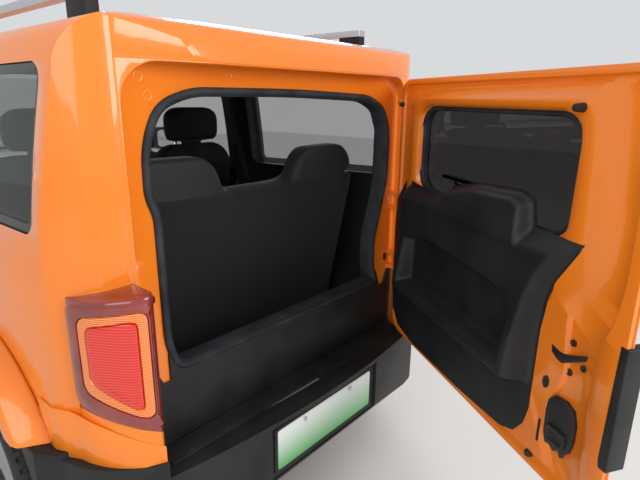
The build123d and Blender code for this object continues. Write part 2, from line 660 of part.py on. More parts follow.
# Front frame: rails, strut towers, front cross rail and bulkhead
rail_low = 420.0
bulkhead_y = front_axle_y - 351
housing_in = 452.0
with BuildPart() as front_wells:
    for sign in sides.values():
        with Locations(Location((sign * (housing_in + 200), front_axle_y, axle_z), (0, 90, 0))):
            Cylinder(arch_r, 400)
    with Locations((0, front_axle_y - 250, 0)):
        Box(2000, 300, 2000, align=(Align.CENTER, Align.MAX, Align.CENTER), mode=Mode.INTERSECT)
with BuildPart() as front_frame:
    for sign in sides.values():
        with Locations((sign * 412, (bulkhead_y + nose_y - 130) / 2, rail_low + 50)):
            Box(70, nose_y - 130 - bulkhead_y, 100)
        for face in (-1, 1):
            with BuildSketch(Plane.XZ.offset(-(front_axle_y + face * 101))):
                Polygon(*[(sign * x, z) for x, z in
                          ((420, 500), (500, 520), (540, 690), (672, 720), (672, 870), (420, 870))],
                        align=None)
            extrude(amount=6, both=True)
        king_plane = Plane(origin=(sign * king_x, front_axle_y, king_z), x_dir=(0, 1, 0),
                           z_dir=(-sign * sin(radians(king_lean)), 0, cos(radians(king_lean))))
        with Locations((sign * 546, front_axle_y, 864)):
            Box(252, 208, 12)
        with BuildSketch(king_plane.offset(strut_top + seat_gap)):
            Circle(64)
        extrude(amount=35)
    with Locations((0, nose_y - 160, rail_low + 50)):
        Box(2 * 540, 60, 110)
    with Locations((0, nose_y - 215, 872)):
        Box(2 * 540, 40, 24)
    for sign in sides.values():
        with Locations((sign * 500, nose_y - 215, 700)):
            Box(40, 40, 340)
        with Locations((sign * 500, nose_y - 190, 500)):
            Box(80, 80, 80)
        with Locations((sign * 420, nose_y - 215, 884)):
            Cylinder(14, 120, align=(Align.CENTER, Align.CENTER, Align.MIN))
    for sign in sides.values():
        with Locations((sign * 300, front_axle_y + 80, 356)):
            Box(60, 200, 128)
    for sign in sides.values():
        with Locations((sign * 350, front_axle_y + 80, 400)):
            Box(100, 200, 40)
    with BuildSketch(Plane.YZ):
        with BuildLine():
            Polyline((bulkhead_y, 372), (bulkhead_y + 24, 372), (bulkhead_y + 24, 900),
                     (scuttle_y - 10, 1004), (scuttle_y - 10, 1026), (bulkhead_y, 925), (bulkhead_y, 372))
        make_face()
    extrude(amount=900, both=True)
    add(skin(side_wall + seat_gap, bonnet_wall + seat_gap), mode=Mode.INTERSECT)
    add(front_wells.part, mode=Mode.SUBTRACT)
front_frame.part.label = "front_frame"
export_step(front_frame.part, "parts/front_frame.step")

# Floor: footwell, raised rear floor over the drive unit, and the rear wheel tubs
floor_z = 340.0
load_floor_z = 520.0
floor_step_y = seal_y + 1010
with BuildPart() as floor_pan:
    with BuildSketch(Plane.YZ):
        with BuildLine():
            Polyline((seal_y + 60.3, 420), (seal_y + 60.3, load_floor_z), (floor_step_y - 60, load_floor_z),
                     (floor_step_y + 50, floor_z + 30), (bulkhead_y - seat_gap, floor_z + 30),
                     (bulkhead_y - seat_gap, floor_z), (floor_step_y, floor_z),
                     (floor_step_y - 100, load_floor_z - 30), (seal_y + 90, load_floor_z - 30),
                     (seal_y + 90, 420), (seal_y + 60.3, 420))
        make_face()
    extrude(amount=900, both=True)
    for sign in sides.values():
        with Locations(Location((sign * 645, rear_axle_y, axle_z), (0, 90, 0))):
            Cylinder(arch_r + 20, 120)
        with Locations(Location((sign * 665, rear_axle_y, axle_z), (0, 90, 0))):
            Cylinder(arch_r, 130, mode=Mode.SUBTRACT)
    for sign in sides.values():
        with Locations((sign * 640, rear_axle_y, 0)):
            Box(160, 900, 2 * 420, mode=Mode.SUBTRACT)
    with BuildPart(mode=Mode.PRIVATE) as front_humps:
        for sign in sides.values():
            with Locations(Location((sign * (housing_in + 190), front_axle_y, axle_z), (0, 90, 0))):
                Cylinder(arch_r + 16, 400)
        with Locations((0, bulkhead_y - seat_gap, floor_z)):
            Box(2000, 300, 800, align=(Align.CENTER, Align.MAX, Align.MIN), mode=Mode.INTERSECT)
    add(front_humps.part)
    add(front_wells.part, mode=Mode.SUBTRACT)
    add(skin(side_wall + seat_gap, roof_wall + seat_gap), mode=Mode.INTERSECT)
floor_pan.part.label = "floor_pan"
export_step(floor_pan.part, "parts/floor_pan.step")

with BuildPart() as battery_pack:
    with Locations((0, floor_step_y + 620, floor_z - seat_gap)):
        Box(2 * 500, 1120, 150, align=(Align.CENTER, Align.CENTER, Align.MAX))
    chamfer(battery_pack.edges().group_by(Axis.Z)[0], 30)
battery_pack.part.label = "battery_pack"
export_step(battery_pack.part, "parts/battery_pack.step")

# Drive unit at the rear axle, one plain block
shaft_r = 22.0
with BuildPart() as drive_unit:
    with Locations(Location((0, rear_axle_y, axle_z + 20), (0, 90, 0))):
        Cylinder(120, 380)
    with Locations((0, rear_axle_y + 60, load_floor_z - 30 - seat_gap)):
        Box(260, 260, 120, align=(Align.CENTER, Align.CENTER, Align.MAX))
    with Locations(Location((0, rear_axle_y, axle_z), (0, 90, 0))):
        Cylinder(shaft_r, 2 * (wheel_x + spindle_in - seat_gap))
drive_unit.part.label = "drive_unit"
export_step(drive_unit.part, "parts/drive_unit.step")

# Rear axle: trailing arms, cross beam, springs and spindles
with BuildPart() as rear_axle:
    with Locations(Location((0, rear_axle_y + 235, 300), (0, 90, 0))):
        Cylinder(34, 2 * 560)
    for sign in sides.values():
        with BuildSketch(Plane.XY.offset(270)):
            Polygon(*[(sign * x, rear_axle_y + y) for x, y in
                      ((520, 345), (580, 345), (600, 60), (655, 60), (655, -60), (560, -60), (530, 100))],
                    align=None)
        extrude(amount=70)
        with Locations(Location((sign * 600, rear_axle_y, axle_z), (0, 90, 0))):
            Cylinder(shaft_r + seat_gap, 200, mode=Mode.SUBTRACT)
        with BuildSketch(Plane(origin=(sign * (wheel_x + spindle_in), rear_axle_y, axle_z),
                               x_dir=(0, 1, 0), z_dir=(sign, 0, 0))):
            Circle(56)
        extrude(amount=disc_back - 0.4 - spindle_in)
        with BuildSketch(Plane(origin=(sign * (wheel_x + spindle_in), rear_axle_y, axle_z),
                               x_dir=(0, 1, 0), z_dir=(sign, 0, 0))):
            Circle(spindle_r)
        extrude(amount=bore_end - 0.5 - spindle_in)
        with Locations((sign * 545, rear_axle_y + 300, 404)):
            Box(70, 80, 171)
        with Locations((sign * 535, rear_axle_y + 130, 415)):
            Cylinder(44, 149)
rear_axle.part.label = "rear_axle"
export_step(rear_axle.part, "parts/rear_axle.step")

# Black lining of the roof, the pillars and the luggage space, one shell against the walls
lining_depth = 8.0
with BuildPart() as cabin_lining:
    add(skin(side_wall + seat_gap, roof_wall + seat_gap))
    add(skin(side_wall + lining_depth, roof_wall + lining_depth), mode=Mode.SUBTRACT)
    with Locations((0, seal_y + 62, load_floor_z + 1)):
        Box(2000, screen_base_y - seal_y - 200, 2000, align=(Align.CENTER, Align.MIN, Align.MIN),
            mode=Mode.INTERSECT)
    with Locations((0, seal_y + door_rear, 0)):
        Box(2000, 3000, belt_z + 60, align=(Align.CENTER, Align.MIN, Align.MIN), mode=Mode.SUBTRACT)
    add(door_hole, mode=Mode.SUBTRACT)
    add(quarter_hole, mode=Mode.SUBTRACT)
    with BuildSketch(Plane.XZ.offset(-screen_top_y + 200)):
        with BuildLine():
            FilletPolyline(*screen_outline, radius=50, close=True)
        make_face()
    extrude(amount=-1500, mode=Mode.SUBTRACT)
    with Locations(Location((0, rear_axle_y, axle_z), (0, 90, 0))):
        Cylinder(arch_r + 21, 2000, mode=Mode.SUBTRACT)
cabin_lining.part.label = "cabin_lining"
export_step(cabin_lining.part, "parts/cabin_lining.step")

# The rear edge of each door steps back behind its outer lip, so that it swings clear of the jamb
lip_depth = 14.0
lip_step = 9.0
with BuildPart() as door_step:
    add(skin(lip_depth, lip_depth))
    with Locations((0, seal_y + door_rear, 0)):
        Box(3000, shut_gap + lip_step, 4000, align=(Align.CENTER, Align.MIN, Align.CENTER), mode=Mode.INTERSECT)

# Side doors: the whole thickness of the wall, its window cut through, a moulded lining inside
mirror_z = belt_z + 45
mirror_y = seal_y + door_front - 72
lining_outline = ((seal_y + door_rear + 40, 420), (seal_y + door_rear + 40, 1085),
                  (seal_y + door_front - 60, 1085), (seal_y + door_front - 60, 420))
lining_form = outline_prism(lining_outline, 50, side_plane, 1000)
lining_face = skin(side_wall + seat_gap, roof_wall)
lining_back = skin(side_wall + 26, roof_wall)
for side, sign in sides.items():
    with BuildPart() as door:
        add(wall.part)
        add(door_form, mode=Mode.INTERSECT)
        add(door_glass_hole, mode=Mode.SUBTRACT)
        add(door_step.part, mode=Mode.SUBTRACT)
        with Locations((sign * 500, 0, 0)):
            Box(1000, 9000, 4000, mode=Mode.INTERSECT)
    door.part.label = f"door_{side}"
    export_step(door.part, f"parts/door_{side}.step")

    with BuildPart() as door_glass:
        add(pane.part)
        add(door_glass_form, mode=Mode.INTERSECT)
        with Locations((sign * 500, 0, 0)):
            Box(1000, 9000, 4000, mode=Mode.INTERSECT)
    door_glass.part.label = f"door_glass_{side}"
    export_step(door_glass.part, f"parts/door_glass_{side}.step")

    with BuildPart() as door_lining:
        add(lining_face)
        add(lining_back, mode=Mode.SUBTRACT)
        add(lining_form, mode=Mode.INTERSECT)
        with Locations((sign * 500, 0, 0)):
            Box(1000, 9000, 4000, mode=Mode.INTERSECT)
        with Locations((sign * 650, seal_y + 1640, 850)):
            Box(60, 560, 60)
        add(inner, mode=Mode.INTERSECT)
    door_lining.part.label = f"door_lining_{side}"
    export_step(door_lining.part, f"parts/door_lining_{side}.step")

    with BuildPart() as mirror_housing:
        with BuildSketch(Plane.XZ.offset(-mirror_y)):
            with Locations((sign * (mirror_width / 2 - 95), mirror_z + 40)):
                RectangleRounded(190, 150, 40)
        extrude(amount=45, both=True)
        with Locations((sign * 780, mirror_y, mirror_z - 12)):
            Box(120, 44, 34)
        add(outer, mode=Mode.SUBTRACT)
    mirror_housing.part.label = f"mirror_{side}"
    export_step(mirror_housing.part, f"parts/mirror_{side}.step")

# Tailgate, cut shut out of the body form behind its inner face and swung open about its hinge axis
hinge_axis = Axis((hinge_out, seal_y - hinge_back, 0), (0, 0, 1))
gate_inner_y = seal_y - tailgate_inside
gate_glass_low = 1150.0
gate_glass_high = 1444.0
gate_glass_half = 376.0
gate_notch = 36.0
with BuildPart() as gate_shut:
    with BuildSketch(Plane.XZ.offset(-gate_inner_y)):
        with Locations((0, (tailgate_low + tailgate_high) / 2)):
            RectangleRounded(2 * tailgate_half, tailgate_high - tailgate_low, tailgate_corner)
        with Locations((tailgate_half - 45, tailgate_low + 45), (45 - tailgate_half, tailgate_low + 45)):
            RectangleRounded(90, 90, 20)
        with Locations((0, (gate_glass_low + gate_glass_high) / 2)):
            RectangleRounded(2 * gate_glass_half, gate_glass_high - gate_glass_low, 80,
                             mode=Mode.SUBTRACT)
    extrude(amount=100)
    add(outer, mode=Mode.INTERSECT)
    for height in hinge_heights:
        with Locations((tailgate_half, seal_y - hinge_back, height)):
            Box(2 * gate_notch, 60, 90, mode=Mode.SUBTRACT)
with BuildPart() as tailgate:
    add(gate_shut.part.rotate(hinge_axis, tailgate_open))
tailgate.part.label = "tailgate"
export_step(tailgate.part, "parts/tailgate.step")

with BuildPart() as gate_glass_shut:
    with BuildSketch(Plane.XZ.offset(-gate_inner_y)):
        with Locations((0, (gate_glass_low + gate_glass_high) / 2)):
            RectangleRounded(2 * (gate_glass_half - seat_gap), gate_glass_high - gate_glass_low - 2 * seat_gap, 79)
    extrude(amount=100)
    add(pane.part, mode=Mode.INTERSECT)
with BuildPart() as tailgate_glass:
    add(gate_glass_shut.part.rotate(hinge_axis, tailgate_open))
tailgate_glass.part.label = "tailgate_glass"
export_step(tailgate_glass.part, "parts/tailgate_glass.step")

# Moulded lining of the tailgate: thin base, belt ledge with the wiper motor's cover, and the pocket,
# whose deep part stands inside the load opening when the tailgate is shut
lining_points = ((-420, 1185), (-432, 1150), (-345, 1010), (-338, 700), (-300, 600), (-200, 560), (330, 552),
                 (500, 600), (536, 700), (536, 1010), (520, 1110), (440, 1185))
base_y = gate_inner_y + seat_gap
deep_left = -322.0
deep_right = 424.0
pocket_low = 757.0
with BuildPart() as gate_lining_shut:
    with BuildSketch(Plane.XZ.offset(-base_y)):
        with BuildLine():
            FilletPolyline(*lining_points, radius=18, close=True)
        make_face()
        with Locations((0, (gate_glass_low + gate_glass_high) / 2)):
            RectangleRounded(2 * gate_glass_half - 30, gate_glass_high - gate_glass_low - 30, 60,
                             mode=Mode.SUBTRACT)
    extrude(amount=-4.5)
    with BuildSketch(Plane.YZ.offset(deep_left)):
        with BuildLine():
            Polyline((base_y, pocket_low), (seal_y + 24, pocket_low + 2), (seal_y + 50, pocket_low + 22),
                     (seal_y + 52, 815), (seal_y + 38, 815), (seal_y + 36, 788), (seal_y - 8, 772),
                     (seal_y - 8, 985), (seal_y + 22, 1020), (seal_y + 32, 1090), (seal_y + 24, 1118),
                     (base_y, 1162), (base_y, pocket_low))
        make_face()
    extrude(amount=deep_right - deep_left)
    with BuildSketch(Plane.YZ.offset(deep_left)):
        with BuildLine():
            Polyline((base_y, 1040), (seal_y + 22, 1040), (seal_y + 32, 1090), (seal_y + 24, 1118),
                     (base_y, 1162), (base_y, 1040))
        make_face()
    extrude(amount=-98)
    for x, depth in ((deep_left, 22), (deep_right, -48)):
        with BuildSketch(Plane.YZ.offset(x)):
            with BuildLine():
                Polyline((base_y, pocket_low), (seal_y + 24, pocket_low + 2), (seal_y + 50, pocket_low + 22),
                         (seal_y + 52, 815), (seal_y + 44, 900), (seal_y + 30, 1090), (base_y, 1100),
                         (base_y, pocket_low))
            make_face()
        extrude(amount=depth)
    with BuildSketch(Plane.XY.offset(1090)):
        with BuildLine():
            Polyline((-285, base_y), (-225, seal_y + 20), (-60, seal_y + 26), (100, seal_y + 10), (130, base_y),
                     (-285, base_y))
        make_face()
    extrude(amount=155)
    with BuildSketch(Plane.YZ.offset(-300)):
        with BuildLine():
            Polyline((seal_y - 14, 1250), (seal_y + 40, 1180), (seal_y + 40, 1260), (seal_y - 14, 1260),
                     (seal_y - 14, 1250))
        make_face()
    extrude(amount=500, mode=Mode.SUBTRACT)
with BuildPart() as tailgate_lining:
    add(gate_lining_shut.part.rotate(hinge_axis, tailgate_open))
tailgate_lining.part.label = "tailgate_lining"
export_step(tailgate_lining.part, "parts/tailgate_lining.step")

# Hinges of the tailgate: lugs and pin on the rear frame, sleeve and leaf on the tailgate's edge
pin_r = 6.0
sleeve_r = 10.0
sleeve_length = 44.0
lug_length = 16.0
with BuildPart() as hinge_lugs:
    for height in hinge_heights:
        with BuildSketch(Plane.XY.offset(height)):
            with Locations((hinge_out, seal_y - hinge_back)):
                Circle(pin_r)
        extrude(amount=sleeve_length / 2 + lug_length, both=True)
        for way in (-1, 1):
            with BuildSketch(Plane.XY.offset(height + way * (sleeve_length / 2 + seat_gap))):
                with Locations((hinge_out, seal_y - hinge_back)):
                    Circle(sleeve_r)
                Polygon((hinge_out - 9, seal_y - hinge_back), (hinge_out - 12, seal_y - seat_gap),
                        (recess_half - 4, seal_y - seat_gap), (hinge_out + 9, seal_y - hinge_back), align=None)
            extrude(amount=way * lug_length)
hinge_lugs.part.label = "hinge_lugs"
export_step(hinge_lugs.part, "parts/hinge_lugs.step")

# Latch, buffers and hinge leaves of the tailgate
leaf_x = tailgate_half - gate_notch
with BuildPart() as gate_fittings_shut:
    for height in hinge_heights:
        with BuildSketch(Plane.XY.offset(height - sleeve_length / 2)):
            with Locations((hinge_out, seal_y - hinge_back)):
                Circle(sleeve_r)
            Polygon((leaf_x + seat_gap, seal_y - 42), (hinge_out, seal_y - hinge_back - 7),
                    (hinge_out, seal_y - hinge_back + 7), (leaf_x + seat_gap, seal_y - tailgate_inside - 1),
                    align=None)
            with Locations((hinge_out, seal_y - hinge_back)):
                Circle(pin_r + running_gap, mode=Mode.SUBTRACT)
        extrude(amount=sleeve_length)
    with Locations((-434, gate_inner_y + seat_gap, 676)):
        Box(92, 8, 74, align=(Align.CENTER, Align.MIN, Align.CENTER))
    for x, z, reach in ((-470, 1502, 17), (533, 1455, 17), (-352, 578, 9)):
        with BuildSketch(Plane.XZ.offset(-(gate_inner_y + seat_gap))):
            with Locations((x, z)):
                Circle(11)
        extrude(amount=-reach)
with BuildPart() as tailgate_fittings:
    add(gate_fittings_shut.part.rotate(hinge_axis, tailgate_open))
tailgate_fittings.part.label = "tailgate_fittings"
export_step(tailgate_fittings.part, "parts/tailgate_fittings.step")

# Outer cover of the tailgate: a black moulding over its lower part, following the skin
with BuildPart() as gate_cover_shut:
    add(skin(-8, -8))
    add(skin(-seat_gap, -seat_gap), mode=Mode.SUBTRACT)
    with BuildSketch(Plane.XZ.offset(-seal_y)):
        with Locations((0, 700)):
            RectangleRounded(1060, 260, 60)
    extrude(amount=200, mode=Mode.INTERSECT)
with BuildPart() as tailgate_cover:
    add(gate_cover_shut.part.rotate(hinge_axis, tailgate_open))
tailgate_cover.part.label = "tailgate_cover"
export_step(tailgate_cover.part, "parts/tailgate_cover.step")

# Roof rails on three feet each
rail_half = 534.0
rail_rear = seal_y + 150
rail_front = seal_y + 1850
rail_top = 1721.0
with BuildPart() as roof_rails:
    for sign in sides.values():
        with Locations((sign * rail_half, (rail_rear + rail_front) / 2, rail_top)):
            Box(34, rail_front - rail_rear, 22, align=(Align.CENTER, Align.CENTER, Align.MAX))
        for station in (rail_rear + 50, (rail_rear + rail_front) / 2, rail_front - 50):
            with Locations((sign * rail_half, station, rail_top - 10)):
                Box(34, 100, 120, align=(Align.CENTER, Align.CENTER, Align.MAX))
    add(outer, mode=Mode.SUBTRACT)
    with Locations((0, 0, 1600)):
        Box(3000, 6000, 400, align=(Align.CENTER, Align.CENTER, Align.MIN), mode=Mode.INTERSECT)
roof_rails.part.label = "roof_rails"
export_step(roof_rails.part, "parts/roof_rails.step")

# Front seats and rear bench, plain closed forms under their covers
seat_half = 350.0
with BuildPart() as front_seats:
    for sign in sides.values():
        with Locations((sign * seat_half, seal_y + 1450, floor_z + 30 + seat_gap)):
            Box(420, 400, 120, align=(Align.CENTER, Align.CENTER, Align.MIN))
        with Locations((sign * seat_half, seal_y + 1440, 480)):
            Box(490, 500, 150, align=(Align.CENTER, Align.CENTER, Align.MIN))
        with BuildSketch(Plane.YZ.offset(sign * seat_half)):
            with BuildLine():
                Polyline((seal_y + 1190, 500), (seal_y + 1005, 1130), (seal_y + 1030, 1180),
                         (seal_y + 1080, 1180), (seal_y + 1180, 1000), (seal_y + 1330, 620),
                         (seal_y + 1330, 500), (seal_y + 1190, 500))
            make_face()
        extrude(amount=228, both=True)
        with Locations((sign * seat_half, seal_y + 1050, 1335)):
            Box(280, 100, 220)
        with Locations((sign * seat_half, seal_y + 1050, 1200)):
            Box(130, 26, 80)
front_seats.part.label = "front_seats"
export_step(front_seats.part, "parts/front_seats.step")

with BuildPart() as rear_seat:
    with Locations((0, seal_y + 620, load_floor_z + seat_gap)):
        Box(2 * 560, 480, 150, align=(Align.CENTER, Align.CENTER, Align.MIN))
    with BuildSketch(Plane.YZ):
        with BuildLine():
            Polyline((seal_y + 280, load_floor_z + seat_gap), (seal_y + 150, 1175), (seal_y + 235, 1195),
                     (seal_y + 285, 1150), (seal_y + 440, load_floor_z + 150),
                     (seal_y + 440, load_floor_z + seat_gap), (seal_y + 280, load_floor_z + seat_gap))
        make_face()
    extrude(amount=520, both=True)
    for sign in sides.values():
        with Locations((sign * 275, seal_y + 195, 1235)):
            Box(270, 85, 180)
rear_seat.part.label = "rear_seat"
export_step(rear_seat.part, "parts/rear_seat.step")

# Dashboard with the instrument hood, the screen and the steering column's shroud
column_lean = 24.0
steer_plane = Plane(origin=(-seat_half, bulkhead_y - 330, 930), x_dir=(1, 0, 0),
                    z_dir=(0, -cos(radians(column_lean)), sin(radians(column_lean))))
with BuildPart() as dashboard:
    with BuildSketch(Plane.YZ):
        with BuildLine():
            Polyline((bulkhead_y - seat_gap, 700), (bulkhead_y - 180, 760), (bulkhead_y - 230, 940),
                     (bulkhead_y - 120, 1000), (bulkhead_y - seat_gap, 1010), (bulkhead_y - seat_gap, 700))
        make_face()
    extrude(amount=640, both=True)
    with Locations((-seat_half, bulkhead_y - 190, 985)):
        Box(300, 120, 110)
    with Locations((0, bulkhead_y - 215, 1040)):
        Box(300, 24, 180)
    with BuildSketch(steer_plane.offset(-60 - seat_gap)):
        Circle(36)
    extrude(amount=-150)
dashboard.part.label = "dashboard"
export_step(dashboard.part, "parts/dashboard.step")

# Steering wheel on its column stub
with BuildPart() as steering_wheel:
    with BuildSketch(Plane(origin=steer_plane.origin, x_dir=(1, 0, 0), z_dir=-steer_plane.y_dir)):
        with Locations((178, 0)):
            RegularPolygon(14, 8)
    revolve(axis=Axis(steer_plane.origin, steer_plane.z_dir))
    with BuildSketch(steer_plane.offset(-12)):
        Circle(58)
        Rectangle(340, 34)
        with Locations((0, -85)):
            Rectangle(34, 170)
    extrude(amount=24)
    with BuildSketch(steer_plane.offset(-60)):
        Circle(24)
    extrude(amount=60)
steering_wheel.part.label = "steering_wheel"
export_step(steering_wheel.part, "parts/steering_wheel.step")

# Black front panel with the lamps in it
with BuildPart() as front_panel:
    with BuildSketch(Plane.XZ.offset(-(nose_y - 5))):
        with Locations((0, 770)):
            RectangleRounded(1200 - 2 * seat_gap, 220 - 2 * seat_gap, 79)
        for sign in sides.values():
            with Locations((sign * 460, 770)):
                RectangleRounded(190, 150, 45, mode=Mode.SUBTRACT)
    extrude(amount=24)
    add(outer, mode=Mode.INTERSECT)
front_panel.part.label = "front_panel"
export_step(front_panel.part, "parts/front_panel.step")

with BuildPart() as headlamps:
    with BuildSketch(Plane.XZ.offset(-nose_y)):
        for sign in sides.values():
            with Locations((sign * 460, 770)):
                RectangleRounded(190 - 2 * seat_gap, 150 - 2 * seat_gap, 44)
    extrude(amount=29)
    add(outer, mode=Mode.INTERSECT)
headlamps.part.label = "headlamps"
export_step(headlamps.part, "parts/headlamps.step")
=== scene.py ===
"""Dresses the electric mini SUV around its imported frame. Metres, X to the vehicle's right, Y forward, Z up."""
from math import atan2, cos, hypot, pi, radians, sin

import bpy
from mathutils import Matrix, Vector


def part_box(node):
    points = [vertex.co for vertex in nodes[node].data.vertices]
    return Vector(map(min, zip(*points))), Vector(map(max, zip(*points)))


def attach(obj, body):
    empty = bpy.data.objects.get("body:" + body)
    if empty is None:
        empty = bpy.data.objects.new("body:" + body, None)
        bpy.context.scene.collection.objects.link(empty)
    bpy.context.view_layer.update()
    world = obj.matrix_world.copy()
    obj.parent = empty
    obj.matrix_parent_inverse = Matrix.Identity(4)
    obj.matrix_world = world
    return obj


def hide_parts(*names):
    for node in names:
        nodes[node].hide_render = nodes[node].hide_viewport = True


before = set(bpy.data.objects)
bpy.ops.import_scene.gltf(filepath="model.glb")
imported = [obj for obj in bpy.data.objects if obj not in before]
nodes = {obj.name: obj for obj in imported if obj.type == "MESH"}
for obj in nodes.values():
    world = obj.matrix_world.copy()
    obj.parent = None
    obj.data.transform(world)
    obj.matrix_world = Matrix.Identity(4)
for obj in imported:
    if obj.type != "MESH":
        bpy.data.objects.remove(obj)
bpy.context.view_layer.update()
seal_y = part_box("tail_seal")[1].y

# Camera: a phone held at chest height behind the left corner, looking forward and to the right.
# Its place is measured from the seal plane of the tailgate, and its lens from the photo's lines.
photo_width = 640
focal_pixels = 500
camera_place = Vector((-1.15, seal_y - 1.0985, 1.465))
camera_right = Vector((0.6555, -0.7551, 0.0096))
camera_ahead = Vector((0.7283, 0.6288, -0.2723))
camera_data = bpy.data.cameras.new("photo_camera")
camera_data.sensor_width = 36
camera_data.lens = camera_data.sensor_width * focal_pixels / photo_width
camera = bpy.data.objects.new("photo_camera", camera_data)
bpy.context.scene.collection.objects.link(camera)
camera_up = camera_right.cross(camera_ahead)
turn = Matrix((camera_right, camera_up, -camera_ahead)).transposed()
camera.matrix_world = Matrix.Translation(camera_place) @ turn.to_4x4()
bpy.context.scene.camera = camera
bpy.context.scene.view_settings.view_transform = "Standard"

# Studio: a pale floor and plain soft light. The largest lamp stands on the left, as the daylight
# does in the photo, the strongest stands behind the vehicle and lifts the shaded tail, and a third
# lights the far side.
floor_reach = 30.0
bpy.ops.object.select_all(action="DESELECT")
bpy.ops.mesh.primitive_grid_add(x_subdivisions=8, y_subdivisions=8, size=floor_reach)
studio_floor = bpy.context.object
studio_floor.name = "studio_floor"
floor_finish = bpy.data.materials.new("studio_floor")
floor_finish.use_nodes = True
floor_shader = floor_finish.node_tree.nodes["Principled BSDF"]
floor_shader.inputs["Base Color"].default_value = (0.72, 0.70, 0.67, 1)
floor_shader.inputs["Roughness"].default_value = 0.55
studio_floor.data.materials.append(floor_finish)

world = bpy.data.worlds.new("studio")
bpy.context.scene.world = world
world.use_nodes = True
background = world.node_tree.nodes["Background"]
background.inputs["Color"].default_value = (0.86, 0.88, 0.9, 1)
background.inputs["Strength"].default_value = 0.8

lamps = {
    "window_light": ((-5.0, -2.6, 3.4), (0.2, -0.6, 0.8), 3.4, 90),
    "tail_light": ((0.6, -6.5, 3.2), (0.1, -1.0, 0.9), 3.0, 190),
    "far_light": ((4.5, 3.5, 4.2), (0.0, 0.5, 0.8), 3.0, 120),
}
for lamp_name, (place, aim, size, watts) in lamps.items():
    lamp_data = bpy.data.lights.new(lamp_name, "AREA")
    lamp_data.size = size
    lamp_data.energy = watts
    lamp = bpy.data.objects.new(lamp_name, lamp_data)
    bpy.context.scene.collection.objects.link(lamp)
    lamp.location = place
    lamp.rotation_euler = (Vector(aim) - Vector(place)).to_track_quat("-Z", "Y").to_euler()

# Painted panels: pressed steel in a plain glossy orange under clear lacquer. Each panel's edges are
# rolled over by 1.5 to 9 mm, so every seam shows as a line, and the lacquer has a faint orange-peel
# ripple.
def new_finish(name, colour, roughness, tones=(), shine=(), relief=(), **sockets):
    """A material with one Principled shader, its sockets set by name. Tones, shine and relief let its
    colour, roughness and height follow noise, and each starts with the noise's scale and detail."""
    finish = bpy.data.materials.new(name)
    finish.use_nodes = True
    shader = finish.node_tree.nodes["Principled BSDF"]
    shader.inputs["Base Color"].default_value = (*colour, 1)
    shader.inputs["Roughness"].default_value = roughness
    for socket, value in sockets.items():
        shader.inputs[socket.replace("_", " ")].default_value = value
    for lay, values in ((colour_between, tones), (roughness_between, shine), (bump_by, relief)):
        if values:
            lay(finish, noise_on(finish, *values[:2]), *values[2:])
    return finish


def noise_on(finish, scale, detail=3.0, stretch=(1, 1, 1)):
    """Noise over the piece's Object coordinates, at so many waves to the metre."""
    tree = finish.node_tree
    coordinates = tree.nodes.new("ShaderNodeTexCoord")
    mapping = tree.nodes.new("ShaderNodeMapping")
    mapping.inputs["Scale"].default_value = stretch
    noise = tree.nodes.new("ShaderNodeTexNoise")
    noise.inputs["Scale"].default_value = scale
    noise.inputs["Detail"].default_value = detail
    tree.links.new(coordinates.outputs["Object"], mapping.inputs["Vector"])
    tree.links.new(mapping.outputs["Vector"], noise.inputs["Vector"])
    return noise.outputs["Fac"]


def colour_between(finish, factor, low, high, start=0.35, end=0.65):
    """Lets the colour wander between two tones as the factor does."""
    tree = finish.node_tree
    ramp = tree.nodes.new("ShaderNodeValToRGB")
    ramp.color_ramp.elements[0].position = start
    ramp.color_ramp.elements[0].color = (*low, 1)
    ramp.color_ramp.elements[1].position = end
    ramp.color_ramp.elements[1].color = (*high, 1)
    tree.links.new(factor, ramp.inputs["Fac"])
    tree.links.new(ramp.outputs["Color"], tree.nodes["Principled BSDF"].inputs["Base Color"])


def roughness_between(finish, factor, low, high):
    """Lets the roughness wander between two values as the factor does."""
    tree = finish.node_tree
    spread = tree.nodes.new("ShaderNodeMapRange")
    spread.inputs["To Min"].default_value = low
    spread.inputs["To Max"].default_value = high
    tree.links.new(factor, spread.inputs["Value"])
    tree.links.new(spread.outputs["Result"], tree.nodes["Principled BSDF"].inputs["Roughness"])


def bump_by(finish, height, depth, strength=1.0, socket="Normal"):
    """Raises the surface by the height pattern, at most the depth in metres."""
    tree = finish.node_tree
    bump = tree.nodes.new("ShaderNodeBump")
    bump.inputs["Strength"].default_value = strength
    bump.inputs["Distance"].default_value = depth
    tree.links.new(height, bump.inputs["Height"])
    tree.links.new(bump.outputs["Normal"], tree.nodes["Principled BSDF"].inputs[socket])


def set_mode(mode):
    """Puts the active piece in the mode."""
    bpy.ops.object.mode_set(mode=mode)


def mark_all(action):
    """Selects or deselects the whole mesh that is being edited."""
    bpy.ops.mesh.select_all(action=action)


def take_nothing():
    """Leaves object mode with nothing selected, ready for a new primitive."""
    if bpy.context.object and bpy.context.object.mode != "OBJECT":
        set_mode("OBJECT")
    bpy.ops.object.select_all(action="DESELECT")


def take_up(piece):
    """Deselects everything else and makes the piece the one that operators act on."""
    take_nothing()
    bpy.context.view_layer.objects.active = piece
    piece.select_set(True)


def settle(piece):
    """Applies the piece's transforms and modifiers to its mesh."""
    take_up(piece)
    bpy.ops.object.transform_apply(location=True, rotation=True, scale=True)
    for modifier in list(piece.modifiers):
        bpy.ops.object.modifier_apply(modifier=modifier.name)


def hang(piece, body, slot, *finishes, smooth=35):
    """Applies what shapes the piece, gives it its finishes and hangs it on its body."""
    settle(piece)
    bpy.ops.object.shade_smooth_by_angle(angle=radians(smooth))
    piece.data.materials.clear()
    for finish in finishes:
        piece.data.materials.append(finish)
    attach(piece, body)
    return piece


